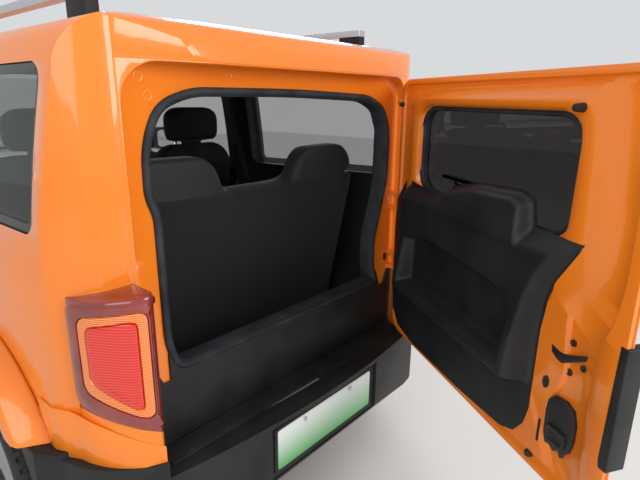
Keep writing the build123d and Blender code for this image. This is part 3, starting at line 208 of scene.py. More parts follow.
def round_edges(piece, width, segments=2, angle=30):
    """Gives the piece a bevel on every edge sharper than the angle."""
    bevel = piece.modifiers.new("rounding", "BEVEL")
    bevel.width = width
    bevel.segments = segments
    bevel.limit_method = "ANGLE"
    bevel.angle_limit = radians(angle)
    bevel.miter_outer = "MITER_ARC"


def dressed_copy(node, name, width, segments=2):
    """A merged copy of a CAD node with rounded edges, which is shown in its place."""
    piece = bpy.data.objects.new(name, nodes[node].data.copy())
    bpy.context.scene.collection.objects.link(piece)
    take_up(piece)
    bpy.ops.mesh.customdata_custom_splitnormals_clear()
    set_mode("EDIT")
    mark_all("SELECT")
    bpy.ops.mesh.remove_doubles(threshold=0.00002)
    bpy.ops.mesh.dissolve_limited(angle_limit=radians(0.5))
    set_mode("OBJECT")
    if width:
        round_edges(piece, width, segments)
    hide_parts(node)
    return piece


def select_faces(piece, wanted):
    """In edit mode, selects the faces for which the test on centre and normal holds."""
    set_mode("OBJECT")
    for polygon in piece.data.polygons:
        polygon.select = wanted(polygon.center, polygon.normal)
    set_mode("EDIT")


def cut_across(piece, place, normal):
    """Cuts an edge line round the whole piece where the plane meets it."""
    take_up(piece)
    set_mode("EDIT")
    bpy.ops.mesh.select_mode(type="FACE")
    mark_all("SELECT")
    bpy.ops.mesh.bisect(plane_co=place, plane_no=normal)
    set_mode("OBJECT")


def second_finish(piece, finish, wanted):
    """Gives the faces for which the test holds the finish as the piece's second material."""
    piece.data.materials.append(finish)
    for polygon in piece.data.polygons:
        if wanted(polygon.center, polygon.normal):
            polygon.material_index = len(piece.data.materials) - 1


paint_tone = (0.9, 0.225, 0.014)
paint_shade = (0.86, 0.208, 0.013)
paint = new_finish("orange_paint", paint_tone, 0.3, tones=(1.7, 2, paint_shade, paint_tone),
                   relief=(260, 2, 0.00006, 1.0, "Coat Normal"), Specular_IOR_Level=0.3, Coat_Weight=0.8,
                   Coat_Roughness=0.03)
moulding = new_finish("black_moulding", (0.016, 0.016, 0.017), 0.5,
                      tones=(9, 4, (0.012, 0.012, 0.0125), (0.022, 0.0215, 0.021)), shine=(5, 4, 0.42, 0.62),
                      relief=(1400, 2, 0.00012, 0.6), Specular_IOR_Level=0.3)
pane_low, pane_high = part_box("quarter_glass")


def under_trim(centre, normal):
    """Whether a face of a body side is its inner face or lies on the edge of its window or doorway."""
    on_window = (abs(normal.x) < 0.6 and pane_low.y - 0.02 < centre.y < pane_high.y + 0.02
                 and pane_low.z - 0.02 < centre.z < pane_high.z + 0.02)
    on_doorway = (abs(normal.x) < 0.3 and seal_y + 1.05 < centre.y < seal_y + 2.4 and 0.35 < centre.z < 1.58
                  and (centre.y < seal_y + 1.3 or normal.y < 0.2 and (normal.z < 0.3 or centre.z < 0.6)))
    return normal.x * centre.x < -0.2 or on_window or on_doorway


panel_edges = {"body_side_left": 0.0015, "body_side_right": 0.0015, "roof": 0.002, "front_wings": 0.002,
               "bonnet": 0.004, "nose_panel": 0.004, "bumper_corners": 0.007, "arch_trims": 0.009}
for node, width in panel_edges.items():
    panel_body = "bonnet" if node == "bonnet" else "root"
    panel = hang(dressed_copy(node, node + "_panel", width), panel_body, "paint", paint)
    if node.startswith("body_side"):
        second_finish(panel, moulding, under_trim)

# Rear frame: the pressed flange round the load opening, orange as far as the weatherstrip and
# covered in black trim behind it. Its edges are rolled, and round plugs close its paint drains.
def onto_edge(x, z, corners):
    """How far the polygon's outline is from a point, and its nearest place."""
    best = (9.0, x, z)
    for spot, (x2, z2) in enumerate(corners):
        x1, z1 = corners[spot - 1]
        span = (x2 - x1) ** 2 + (z2 - z1) ** 2
        part = min(max(((x - x1) * (x2 - x1) + (z - z1) * (z2 - z1)) / span, 0), 1)
        reach = hypot(x - x1 - part * (x2 - x1), z - z1 - part * (z2 - z1))
        if reach < best[0]:
            best = (reach, x1 + part * (x2 - x1), z1 + part * (z2 - z1))
    return best


def inside_by(point, corners):
    """How far inside a polygon the point lies, negative outside it."""
    x, z = point
    within = False
    for spot, (x2, z2) in enumerate(corners):
        x1, z1 = corners[spot - 1]
        if (z1 > z) != (z2 > z) and x < (x2 - x1) * (z - z1) / (z2 - z1) + x1:
            within = not within
    nearest = onto_edge(x, z, corners)[0]
    return nearest if within else -nearest


opening_corners = ((0.47, 0.745), (0.44, 0.8), (0.435, 0.925), (0.47, 1.03), (0.51, 1.16), (0.512, 1.35),
                   (0.472, 1.432), (0.38, 1.47), (0, 1.482), (-0.38, 1.48), (-0.478, 1.445), (-0.518, 1.35),
                   (-0.52, 1.23), (-0.5, 1.18), (-0.498, 0.83), (-0.47, 0.745))
rear_flange = hang(dressed_copy("rear_frame", "rear_flange", 0.0035, 3), "root", "paint", paint)
second_finish(rear_flange, moulding, lambda centre, normal: normal.y > -0.98 and centre.y > seal_y - 0.004
              and inside_by((centre.x, centre.z), opening_corners) > -0.02)


def step_in(piece, wanted, *steps):
    """Insets the faces for which the test holds, once for each width and depth."""
    set_mode("EDIT")
    select_faces(piece, wanted)
    for width, depth in steps:
        bpy.ops.mesh.inset(thickness=width, depth=depth)
    set_mode("OBJECT")


def disc(name, place, radius, depth, facing, sides=24):
    """A round stud with a rolled rim, its outer face turned the given way."""
    take_nothing()
    bpy.ops.mesh.primitive_cylinder_add(vertices=sides, radius=radius, depth=depth, location=place,
                                        rotation=Vector(facing).to_track_quat("Z", "Y").to_euler())
    piece = bpy.context.object
    piece.name = name
    set_mode("EDIT")
    mark_all("DESELECT")
    step_in(piece, lambda centre, normal: normal.z > 0.9, (radius * 0.22, 0), (radius * 0.1, -depth * 0.2))
    round_edges(piece, min(radius, depth) * 0.18)
    return piece


def join(name, pieces):
    """Makes one piece out of several that share a finish."""
    for piece in pieces:
        settle(piece)
    take_up(pieces[0])
    for piece in pieces[1:]:
        piece.select_set(True)
    if len(pieces) > 1:
        bpy.ops.object.join()
    pieces[0].name = name
    return pieces[0]


rearward = (0, -1, 0)
frame_plugs = [disc("plug", (x, seal_y + 0.0013, z), r, 0.004, rearward, 32)
               for x, z, r in ((-0.518, 1.51, 0.0125), (-0.497, 1.468, 0.0125), (-0.254, 1.522, 0.01),
                               (0.554, 1.43, 0.009), (0.552, 1.25, 0.011), (0.55, 0.93, 0.008))]
hang(join("frame_plugs", frame_plugs), "root", "paint", paint)


def upright(y):
    """Sets (across, height) pairs on an upright plane across the vehicle."""
    return lambda across, height: (across, y, height)


def outline_piece(name, points, across, depth, width=0, segments=2):
    """A slab cut from a plane outline of pairs that are set in place, with edges rounded to the width."""
    take_nothing()
    bpy.ops.mesh.primitive_circle_add(vertices=len(points), radius=1, fill_type="NGON")
    piece = bpy.context.object
    piece.name = name
    for vertex, point in zip(piece.data.vertices, points):
        vertex.co = across(*point)
    set_mode("EDIT")
    mark_all("SELECT")
    bpy.ops.mesh.extrude_region_move(TRANSFORM_OT_translate={"value": depth})
    mark_all("SELECT")
    bpy.ops.mesh.normals_make_consistent(inside=False)
    set_mode("OBJECT")
    if width:
        round_edges(piece, width, segments)
    return piece


def rounded_box(low, high, radius, steps=5):
    """Corner points of a rounded rectangle between two corners."""
    points = []
    for (cx, cz), start in (((high[0] - radius, high[1] - radius), 0), ((low[0] + radius, high[1] - radius), 90),
                            ((low[0] + radius, low[1] + radius), 180), ((high[0] - radius, low[1] + radius), 270)):
        for step in range(steps + 1):
            angle = radians(start + 90 * step / steps)
            points.append((cx + radius * cos(angle), cz + radius * sin(angle)))
    return points


pressed_steps = [outline_piece("step", rounded_box((-0.585, 0.94), (right, top), 0.022, 8),
                               upright(seal_y + 0.002), (0, -0.002 - height, 0), 0.0008)
                 for right, top, height in ((-0.533, 1.078, 0.0012), (-0.541, 1.069, 0.0024))]
hang(join("frame_pressed_step", pressed_steps), "root", "paint", paint)
clips = [outline_piece("clip", rounded_box((x - 0.007, z - half), (x + 0.007, z + half), 0.003),
                       upright(seal_y + 0.001), (0, -0.006, 0), 0.0015)
         for x, z, half in ((0.532, 0.835, 0.014), (-0.532, 0.966, 0.009))]
hang(join("frame_clips", clips), "root", "dark_moulding", moulding)

# Weatherstrip: hollow foam rubber pushed on the flange of the opening, its bulb rounded, matt and
# a little blue where dust lies on it.
rubber = new_finish("seal_rubber", (0.022, 0.026, 0.031), 0.72,
                    tones=(14, 4, (0.016, 0.018, 0.021), (0.034, 0.04, 0.048)), relief=(900, 3, 0.00015, 0.5),
                    Specular_IOR_Level=0.3)


def rays_round(points, radius, centre, count):
    """Points where evenly turned rays from the centre meet a polygon with rounded corners."""
    path = []
    for spot, corner in enumerate(points):
        here = Vector(corner)
        before, after = Vector(points[spot - 1]), Vector(points[(spot + 1) % len(points)])
        reach = min(radius, (before - here).length * 0.45, (after - here).length * 0.45)
        first, last = here + (before - here).normalized() * reach, here + (after - here).normalized() * reach
        for step in range(9):
            part = step / 8
            path.append(first.lerp(here, part).lerp(here.lerp(last, part), part))
    middle = Vector(centre)
    met = []
    for number in range(count):
        ray = Vector((cos(2 * pi * number / count), sin(2 * pi * number / count)))
        across = Vector((-ray.y, ray.x))
        reaches = []
        for spot, end in enumerate(path):
            start = path[spot - 1] - middle
            side_start, side_end = start.dot(across), (end - middle).dot(across)
            if (side_start <= 0) != (side_end <= 0):
                part = side_start / (side_start - side_end)
                reaches.append((start + (end - path[spot - 1]) * part).dot(ray))
        met.append(middle + ray * max(reaches))
    return met


def pressed_sheet(name, rings, place):
    """A sheet pressed in steps: loops of as many points each, one inside the other, and bridged."""
    count = len(rings[0][0])
    points = [place(x, z, depth) for outline, depth in rings for x, z in outline]
    faces = [(ring * count + spot, (ring + 1) * count + spot, (ring + 1) * count + (spot + 1) % count,
              ring * count + (spot + 1) % count) for ring in range(len(rings) - 1) for spot in range(count)]
    sheet_mesh = bpy.data.meshes.new(name)
    sheet_mesh.from_pydata(points, [], faces)
    piece = bpy.data.objects.new(name, sheet_mesh)
    bpy.context.scene.collection.objects.link(piece)
    return piece


def grown(path, by):
    """The loop moved outwards by so much."""
    moved = []
    for spot, point in enumerate(path):
        along = (path[(spot + 1) % len(path)] - path[spot - 1]).normalized()
        moved.append(point + Vector((along.y, -along.x)) * by)
    return moved


flange_path = rays_round(opening_corners, 0.12, (0, 1.1), 260)
bulb = ((-0.014, 0.045), (-0.014, -0.0005), (-0.0125, -0.0033), (-0.0095, -0.0042), (-0.009, -0.0062),
        (-0.007, -0.0092), (-0.0035, -0.0112), (0.0005, -0.0117), (0.0045, -0.011), (0.0078, -0.0085),
        (0.0097, -0.005), (0.0102, -0.002), (0.0095, 0.001))
weatherstrip = pressed_sheet("weatherstrip", [(grown(flange_path, by), depth) for by, depth in bulb + bulb[:1]],
                             lambda x, z, depth: (x, seal_y + depth, z))
hang(weatherstrip, "root", "seal_rubber", rubber, smooth=60)
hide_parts("tail_seal")

# Black mouldings: sill cover, bumpers, sill cladding and cowl, all grained. The rear bumper has the
# step under the tailgate and the recess for the plate.
for node, width in {"sill_cover": 0.004, "rear_bumper": 0.008, "front_bumper": 0.008, "sill_cladding": 0.006,
                    "cowl": 0.003}.items():
    hang(dressed_copy(node, node + "_moulding", width, 3), "root", "dark_moulding", moulding)

sill_trim = outline_piece("sill_trim", ((-0.499, 0.7), (0.5, 0.7), (0.487, 0.74), (0.468, 0.79), (0.452, 0.79),
                                        (0.462, 0.757), (-0.46, 0.757), (-0.486, 0.8), (-0.5, 0.8)),
                          upright(seal_y + 0.003), (0, -0.0098, 0), 0.003, 3)
hang(sill_trim, "root", "dark_moulding", moulding)

# Registration plate: a blank flat aluminium sheet, white fading to green downwards, in a thin
# black holder, held by two bolts with pale caps.
plate_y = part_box("rear_bumper")[0].y + 0.024
plate_foot, plate_top = 0.345, 0.485
holder = outline_piece("plate_holder", rounded_box((-0.252, 0.336), (0.252, 0.494), 0.006),
                       upright(plate_y), (0, -0.004, 0), 0.001)
hang(holder, "root", "dark_moulding", moulding)
plate_paint = new_finish("plate_paint", (0.8, 0.84, 0.8), 0.35, Coat_Weight=0.5, Coat_Roughness=0.1)
tree = plate_paint.node_tree
coordinates = tree.nodes.new("ShaderNodeTexCoord")
split = tree.nodes.new("ShaderNodeSeparateXYZ")
height = tree.nodes.new("ShaderNodeMapRange")
height.inputs["From Min"].default_value = plate_foot
height.inputs["From Max"].default_value = plate_top
tree.links.new(coordinates.outputs["Object"], split.inputs["Vector"])
tree.links.new(split.outputs["Z"], height.inputs["Value"])
colour_between(plate_paint, height.outputs["Result"], (0.09, 0.42, 0.12), (0.8, 0.86, 0.82), 0.05, 0.85)
plate = outline_piece("blank_plate", rounded_box((-0.24, plate_foot), (0.24, plate_top), 0.008),
                      upright(plate_y - 0.004), (0, -0.0015, 0))
hang(plate, "root", "dark_moulding", plate_paint)
bolt_metal = new_finish("bolt_metal", (0.55, 0.56, 0.57), 0.35, shine=(300, 3, 0.25, 0.5), Metallic=1.0)
bolts = [disc("bolt", (x, plate_y - 0.007, 0.468), 0.0075, 0.006, rearward, 12) for x in (-0.1175, 0.1175)]
hang(join("plate_bolt_heads", bolts), "root", "chassis", bolt_metal)

# Tailgate shell: two pressings hemmed together at the edge. Outside it is painted above the black
# cover, and gloss black from under the window up, round dark privacy glass. What this script adds
# to it is drawn shut, then swung open.
open_degrees = 57
swing_axis = Vector((0.558, seal_y - 0.035, 0))
swing_open = (Matrix.Translation(swing_axis) @ Matrix.Rotation(radians(open_degrees), 4, "Z")
              @ Matrix.Translation(-swing_axis))
gate_face = seal_y - 0.024


def swing(piece):
    """Turns a piece that was drawn on the shut tailgate to where the tailgate stands open."""
    take_up(piece)
    bpy.ops.object.transform_apply(location=True, rotation=True, scale=True)
    piece.data.transform(swing_open)
    return piece


privacy_tint = new_finish("privacy_glass", (0.05, 0.045, 0.047), 0.0, shine=(3, 3, 0.0, 0.04), Transmission_Weight=1.0,
                          IOR=1.45)
black_gloss = new_finish("gloss_black", (0.008, 0.008, 0.009), 0.12, shine=(30, 3, 0.08, 0.16), Coat_Weight=0.6,
                         Coat_Roughness=0.04)
gate_shell = dressed_copy("tailgate", "tailgate_shell", 0.003)
black_from = 0.97
for level in (black_from, 0.83):
    cut_across(gate_shell, (0, 0, level), (0, 0, 1))
gate_outward = Vector((0.8387, -0.5446, 0))
set_mode("EDIT")
mark_all("DESELECT")
select_faces(gate_shell, lambda centre, normal: normal.dot(gate_outward) < -0.99)
bpy.ops.transform.translate(value=gate_outward * 0.008)
set_mode("OBJECT")
hang(gate_shell, "tailgate", "paint", paint)
second_finish(gate_shell, black_gloss, lambda centre, normal: normal.dot(gate_outward) > 0.35
              and centre.z > black_from)
hang(dressed_copy("tailgate_cover", "tailgate_cover_shell", 0.003), "tailgate", "gloss_black", black_gloss)
for material_slot in nodes["tailgate_glass"].material_slots:
    material_slot.material = privacy_tint


# Inner panel of the tailgate: one deep pressing with a hem all round, a channel inside it, a raised
# field with a frame round the window, and a sunk pan for the latch. It is painted with the body.
def on_gate(across, height, depth=0.0):
    """A place on the inner face of the shut tailgate, the depth counted towards the cabin."""
    return (across, gate_face + depth, height)


points_round = 400
inner_rings = []
for corners, radius, depth in (
        (((-0.573, 0.543), (0.533, 0.543), (0.533, 1.534), (-0.573, 1.534)), 0.083, -0.014),
        (((-0.5715, 0.545), (0.532, 0.545), (0.532, 1.532), (-0.5715, 1.532)), 0.082, 0.0028),
        (((-0.566, 0.551), (0.526, 0.551), (0.526, 1.527), (-0.566, 1.527)), 0.08, 0.0036),
        (((-0.508, 0.562), (0.512, 0.562), (0.512, 1.519), (-0.541, 1.519), (-0.546, 1.12), (-0.536, 1.03),
          (-0.503, 0.945), (-0.506, 0.75), (-0.516, 0.64)), 0.05, 0.0036),
        (((-0.499, 0.571), (0.507, 0.569), (0.507, 1.514), (-0.534, 1.514), (-0.539, 1.12), (-0.529, 1.03),
          (-0.495, 0.945), (-0.498, 0.75), (-0.508, 0.64)), 0.05, -0.0048),
        (((-0.43, 0.585), (0.47, 0.58), (0.475, 1.5), (-0.455, 1.506), (-0.468, 1.4), (-0.497, 1.21), (-0.494, 1.15),
          (-0.476, 1.09), (-0.425, 1.03), (-0.419, 0.98), (-0.424, 0.92), (-0.435, 0.865), (-0.42, 0.8),
          (-0.396, 0.76), (-0.394, 0.7), (-0.416, 0.62)), 0.05, -0.0055),
        (((-0.42, 0.588), (0.464, 0.586), (0.469, 1.496), (-0.446, 1.5), (-0.459, 1.395), (-0.488, 1.21),
          (-0.485, 1.153), (-0.469, 1.096), (-0.416, 1.034), (-0.411, 0.98), (-0.416, 0.92), (-0.427, 0.865),
          (-0.412, 0.8), (-0.388, 0.76), (-0.386, 0.7), (-0.408, 0.62)), 0.05, 0.0045),
        (((-0.38, 1.03), (0.44, 1.03), (0.44, 1.475), (-0.424, 1.479), (-0.438, 1.33), (-0.444, 1.2), (-0.42, 1.1)),
         0.09, 0.0044),
        (((-0.375, 1.045), (0.434, 1.045), (0.434, 1.469), (-0.417, 1.473), (-0.431, 1.33), (-0.436, 1.2),
          (-0.41, 1.11)), 0.09, 0.0105),
        (((-0.372, 1.08), (0.4, 1.08), (0.4, 1.4665), (-0.391, 1.462), (-0.405, 1.3), (-0.4, 1.18)), 0.09, 0.0108),
        (((-0.378, 1.12), (0.385, 1.12), (0.385, 1.455), (-0.385, 1.455)), 0.08, 0.0088),
        (((-0.374, 1.14), (0.378, 1.14), (0.378, 1.447), (-0.378, 1.447)), 0.078, 0.004),
        (((-0.3735, 1.152), (0.3735, 1.152), (0.3735, 1.442), (-0.3735, 1.442)), 0.078, -0.024)):
    inner_rings.append((rays_round(corners, radius, (0, 1.29), points_round), depth))
inner_panel = pressed_sheet("tailgate_inner_panel", inner_rings, on_gate)
hang(swing(inner_panel), "tailgate", "paint", paint, smooth=50)

# Window surround: the black border fired onto the glass, and the foam strip between it and the
# pressing. Seen from inside, the privacy glass is nearly black.
frit_rings = [(rays_round(((-half, low), (half, low), (half, high), (-half, high)), 0.078, (0, 1.29), 160), depth)
              for half, low, high, depth in ((0.3745, 1.151, 1.4425, -0.012), (0.372, 1.153, 1.44, -0.0105),
                                             (0.366, 1.158, 1.434, -0.0105), (0.362, 1.162, 1.43, -0.016),
                                             (0.362, 1.162, 1.43, -0.03))]
frit = pressed_sheet("window_surround", frit_rings, on_gate)
hang(swing(frit), "tailgate", "dark_moulding", rubber)

# Lining of the tailgate: one grained black moulding clipped over the lower half, with the ledge
# under the window, the hump over the wiper motor and the open pocket. Its edges are soft.
lining_plastic = new_finish("lining_plastic", (0.014, 0.016, 0.017), 0.5,
                            tones=(7, 3, (0.011, 0.0125, 0.0135), (0.02, 0.0215, 0.022)), shine=(4, 3, 0.42, 0.58),
                            relief=(1100, 2, 0.00014, 0.6), Specular_IOR_Level=0.35)


def ramp_in(value, start, end):
    """0 before the start, 1 past the end, and a soft S between them."""
    share = min(max((value - start) / (end - start), 0), 1)
    return share * share * (3 - 2 * share)


lining_edge = ((-0.432, 1.166), (-0.42, 1.14), (-0.402, 1.112), (-0.368, 1.06), (-0.345, 1.0), (-0.334, 0.92),
               (-0.332, 0.7), (-0.318, 0.645), (-0.285, 0.6), (-0.23, 0.578), (0, 0.56), (0.34, 0.555), (0.46, 0.575),
               (0.515, 0.63), (0.527, 0.72), (0.53, 1.0), (0.52, 1.09), (0.47, 1.15), (0.425, 1.19), (0.4, 1.178),
               (0.3, 1.168), (0.14, 1.168), (0.11, 1.205), (-0.03, 1.241), (-0.215, 1.251), (-0.267, 1.236),
               (-0.283, 1.168))
deep_edge = ((-0.46, 1.25), (-0.432, 1.165), (-0.394, 1.108), (-0.358, 1.05), (-0.336, 0.99), (-0.326, 0.9),
             (-0.324, 0.72), (0.412, 0.72), (0.42, 1.25))
hump_edge = ((-0.283, 1.1), (-0.262, 1.232), (-0.215, 1.246), (-0.03, 1.236), (0.11, 1.2), (0.15, 1.1))
pocket_mouth = ((-0.27, 0.806), (-0.272, 0.95), (-0.245, 0.992), (-0.17, 1.003), (0.3, 1.02), (0.352, 0.98),
                (0.36, 0.806))


def lining_depth(x, z):
    """How far the lining's face stands from the inner panel, in metres."""
    thin = 0.0058 + 0.006 * ramp_in(z, 0.96, 1.03) * (x < 0.4)
    body = inside_by((x, z), deep_edge)
    full = 0.076 - 0.022 * ramp_in(z, 0.8, 1.0) - 0.004 * ramp_in(z, 1.0, 1.1)
    side = ramp_in(body, -0.001, 0.03)
    back = ramp_in(1.166 - z, -0.002, 0.048) ** 0.8
    low = ramp_in(z, 0.764, 0.778)
    solid = thin + (full - thin) * min(side, back) * low
    mouth = inside_by((x, z), pocket_mouth)
    solid -= (solid - 0.014) * ramp_in(mouth, -0.002, 0.02) * (z < 1.03)
    hump = inside_by((x, z), hump_edge)
    if hump > 0:
        solid = max(solid, (0.058 - 0.012 * ramp_in(z, 1.12, 1.24)) * ramp_in(hump, 0, 0.022) ** 0.7)
    return solid


take_nothing()
bpy.ops.mesh.primitive_grid_add(x_subdivisions=170, y_subdivisions=120, size=1)
lining = bpy.context.object
lining.name = "lining_moulding"
set_mode("EDIT")
bpy.ops.mesh.select_mode(type="FACE")
mark_all("DESELECT")
set_mode("OBJECT")
for vertex in lining.data.vertices:
    across, height = 0.045 + vertex.co.x * 0.99, 0.9 + vertex.co.y * 0.72
    if -0.0062 < inside_by((across, height), lining_edge) < 0.001:
        across, height = onto_edge(across, height, lining_edge)[1:]
    vertex.co = on_gate(across, height, lining_depth(across, height))
select_faces(lining, lambda centre, normal: inside_by((centre.x, centre.z), lining_edge) < 0.0001)
bpy.ops.mesh.delete(type="FACE")
mark_all("SELECT")
bpy.ops.mesh.extrude_region_move(TRANSFORM_OT_translate={"value": (0, -0.004, 0)})
mark_all("SELECT")
bpy.ops.mesh.normals_make_consistent(inside=False)
set_mode("OBJECT")
hang(swing(lining), "tailgate", "lining", lining_plastic, smooth=70)
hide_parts("tailgate_lining")

# Hinges of the tailgate: painted steel leaves at its right edge, which turn about the upright axis
# between the lugs of the body.
hinge_leaves = dressed_copy("tailgate_fittings", "tailgate_hinge_leaves", 0.0012)
set_mode("EDIT")
bpy.ops.mesh.select_mode(type="FACE")
mark_all("DESELECT")
select_faces(hinge_leaves, lambda centre, normal: (centre.xy - swing_axis.xy).length > 0.1)
bpy.ops.mesh.delete(type="FACE")
hang(hinge_leaves, "tailgate", "chassis", paint)
hang(dressed_copy("hinge_lugs", "tailgate_hinge_lugs", 0.0015), "root", "paint", paint)

# Latch, plugs and stops of the tailgate: a black latch housing in its pan, the pull hook above it,
# plugs in the paint drains and tapered stops, all in one black finish.
latch_black = new_finish("latch_black", (0.018, 0.018, 0.019), 0.42, shine=(60, 3, 0.32, 0.55), Specular_IOR_Level=0.4)
forward = (0, 1, 0)
latch_outline = ((-0.391, 0.675), (-0.389, 0.735), (-0.394, 0.766), (-0.41, 0.785), (-0.445, 0.789), (-0.47, 0.778),
                 (-0.481, 0.745), (-0.481, 0.7), (-0.474, 0.668), (-0.462, 0.655), (-0.455, 0.64), (-0.443, 0.655),
                 (-0.43, 0.643), (-0.414, 0.652), (-0.4, 0.648))
latch_base = outline_piece("latch_base", latch_outline,
                           upright(gate_face - 0.006), (0, 0.0115, 0), 0.0018, 3)
latch_block = outline_piece("latch_block", ((-0.399, 0.662), (-0.397, 0.7), (-0.402, 0.715), (-0.47, 0.715),
                                            (-0.474, 0.69), (-0.466, 0.664)), on_gate, (0, 0.0135, 0))
set_mode("EDIT")
select_faces(latch_block, lambda centre, normal: normal.y > 0.9)
bpy.ops.transform.resize(value=(0.82, 1, 0.8))
bpy.ops.mesh.inset(thickness=0.006)
bpy.ops.mesh.inset(thickness=0.002, depth=-0.003)
round_edges(latch_block, 0.0015, 2)
pull_hook = outline_piece("pull_hook", ((-0.379, 0.906), (-0.382, 0.888), (-0.4, 0.878), (-0.416, 0.875),
                                        (-0.474, 0.909), (-0.477, 0.923), (-0.43, 0.902), (-0.405, 0.9)),
                          upright(gate_face - 0.006), (0, 0.0122, 0), 0.0012)
slit = outline_piece("slit", rounded_box((-0.3795, 0.634), (-0.3725, 0.698), 0.003),
                     upright(gate_face + 0.005), (0, 0.002, 0))
plugs = [disc("plug", on_gate(across, height, depth), radius, 0.005, forward)
         for across, height, depth, radius in ((-0.433, 0.934, -0.004, 0.0085), (-0.434, 0.86, -0.004, 0.0085),
                                               (-0.471, 0.889, -0.004, 0.008))]
oval = disc("oval", on_gate(-0.3775, 0.804, 0.006), 0.0095, 0.005, forward)
take_up(oval)
bpy.ops.transform.resize(value=(1, 1, 1.7))


def stop(across, height, length, foot):
    """A tapered rubber stop standing on the inner panel."""
    take_nothing()
    bpy.ops.mesh.primitive_cone_add(vertices=24, radius1=foot, radius2=foot * 0.72, depth=length,
                                    location=on_gate(across, height, length / 2), rotation=(-radians(90), 0, 0))
    piece = bpy.context.object
    piece.name = "stop"
    round_edges(piece, foot * 0.16)
    return piece


stops = [stop(-0.374, 1.452, 0.034, 0.0115), stop(-0.352, 0.578, 0.012, 0.012), stop(0.52, 1.447, 0.017, 0.0105)]
gate_hardware = join("tailgate_latch_and_stops", [latch_base, latch_block, pull_hook, slit, oval] + plugs + stops)
hang(swing(gate_hardware), "tailgate", "dark_moulding", latch_black)

# Black strip along the free edge of the tailgate, where the lower cover wraps round the hem, and
# the outer cover's own edge above it.
edge_strip = outline_piece("edge_strip", ((-0.5785, 0.99), (-0.559, 0.992), (-0.5535, 0.72), (-0.557, 0.7),
                                          (-0.5785, 0.7)),
                           upright(gate_face + 0.0052), (0, -0.05, 0), 0.0022, 3)
hang(swing(edge_strip), "tailgate", "dark_moulding", moulding)
edge_outward = Vector((-0.5446, -0.8387, 0))
for polygon in gate_shell.data.polygons:
    if polygon.center.z > 1.0 and (polygon.normal.dot(edge_outward) > 0.6 or polygon.normal.z > 0.6):
        polygon.material_index = 1

# Outside of the tailgate, which the photo doesn't show: a pull handle under the window, the
# third brake lamp at the top and the wiper parked on the glass, all as cars of this kind have.
red_lens = new_finish("red_lens", (0.5, 0.012, 0.008), 0.12, shine=(200, 2, 0.08, 0.2), Coat_Weight=1.0,
                      Coat_Roughness=0.02)
skin_y = seal_y - 0.096
handle = outline_piece("tailgate_handle", rounded_box((-0.43, 0.862), (-0.25, 0.902), 0.016),
                       upright(skin_y + 0.018), (0, -0.026, 0))
step_in(handle, lambda centre, normal: normal.y < -0.9, (0.007, -0.002), (0.004, -0.008))
round_edges(handle, 0.0015)
hang(swing(handle), "tailgate", "gloss_black", black_gloss)
brake_lamp = outline_piece("third_brake_lamp", rounded_box((-0.15, 1.478), (0.15, 1.502), 0.008),
                           upright(seal_y - 0.07), (0, -0.024, 0), 0.003, 3)
hang(swing(brake_lamp), "tailgate", "lamp_red", red_lens)
take_nothing()
bpy.ops.mesh.primitive_cylinder_add(vertices=24, radius=0.02, depth=0.03, location=(-0.03, seal_y - 0.1, 1.17),
                                    rotation=(radians(90), 0, 0))
wiper_hub = bpy.context.object
round_edges(wiper_hub, 0.004, 3)
wiper_arm = outline_piece("wiper_arm", ((-0.04, 1.163), (-0.02, 1.163), (0.18, 1.172), (0.26, 1.186), (0.258, 1.193),
                                        (0.18, 1.182), (-0.02, 1.178), (-0.04, 1.178)),
                          upright(seal_y - 0.106), (0, -0.007, 0), 0.0018)
wiper_blade = outline_piece("wiper_blade", ((0.06, 1.205), (0.07, 1.199), (0.31, 1.199), (0.33, 1.205), (0.31, 1.212),
                                            (0.08, 1.212)),
                            upright(seal_y - 0.094), (0, -0.01, 0), 0.002)
hang(swing(join("tailgate_wiper", [wiper_hub, wiper_arm, wiper_blade])), "tailgate", "dark_moulding", moulding)

# Tail lamps: upright blocks on the corners. A smoked rim runs round an amber light band with a red
# core inside it. Band and core are ribbed, and all three have a polished coat.
def ribs_on(finish, scale, direction="Z"):
    """Straight ribs across the piece's Object coordinates."""
    tree = finish.node_tree
    coordinates = tree.nodes.new("ShaderNodeTexCoord")
    ribs = tree.nodes.new("ShaderNodeTexWave")
    ribs.bands_direction = direction
    ribs.inputs["Scale"].default_value = scale
    tree.links.new(coordinates.outputs["Object"], ribs.inputs["Vector"])
    return ribs.outputs["Fac"]


smoked_rim = new_finish("smoked_rim", (0.16, 0.035, 0.03), 0.1,
                        tones=(12, 2, (0.2, 0.022, 0.016), (0.3, 0.036, 0.026)), Coat_Weight=1.0, Coat_Roughness=0.02)
amber_band = new_finish("amber_band", (0.85, 0.2, 0.03), 0.14, Coat_Weight=1.0, Coat_Roughness=0.02)
colour_between(amber_band, ribs_on(amber_band, 60), (0.72, 0.13, 0.02), (0.95, 0.3, 0.06), 0.2, 0.8)
bump_by(amber_band, ribs_on(amber_band, 60), 0.001, 0.5)
colour_between(red_lens, ribs_on(red_lens, 45), (0.55, 0.01, 0.006), (0.85, 0.03, 0.015), 0.2, 0.8)
bump_by(red_lens, ribs_on(red_lens, 45), 0.001, 0.5)
lamp_plan = [Vector((0.592, -0.09)), Vector((0.594, -0.104)), Vector((0.602, -0.113)), Vector((0.618, -0.111))]
for turn_step in range(11):
    part = turn_step / 10
    bow = Vector((0.64, -0.1)).lerp(Vector((0.701, -0.042)), part)
    lamp_plan.append(bow.lerp(Vector((0.701, -0.042)).lerp(Vector((0.722, 0.05)), part), part))
lens_points = 180
lamp_length = sum((end - start).length for start, end in zip(lamp_plan, lamp_plan[1:]))


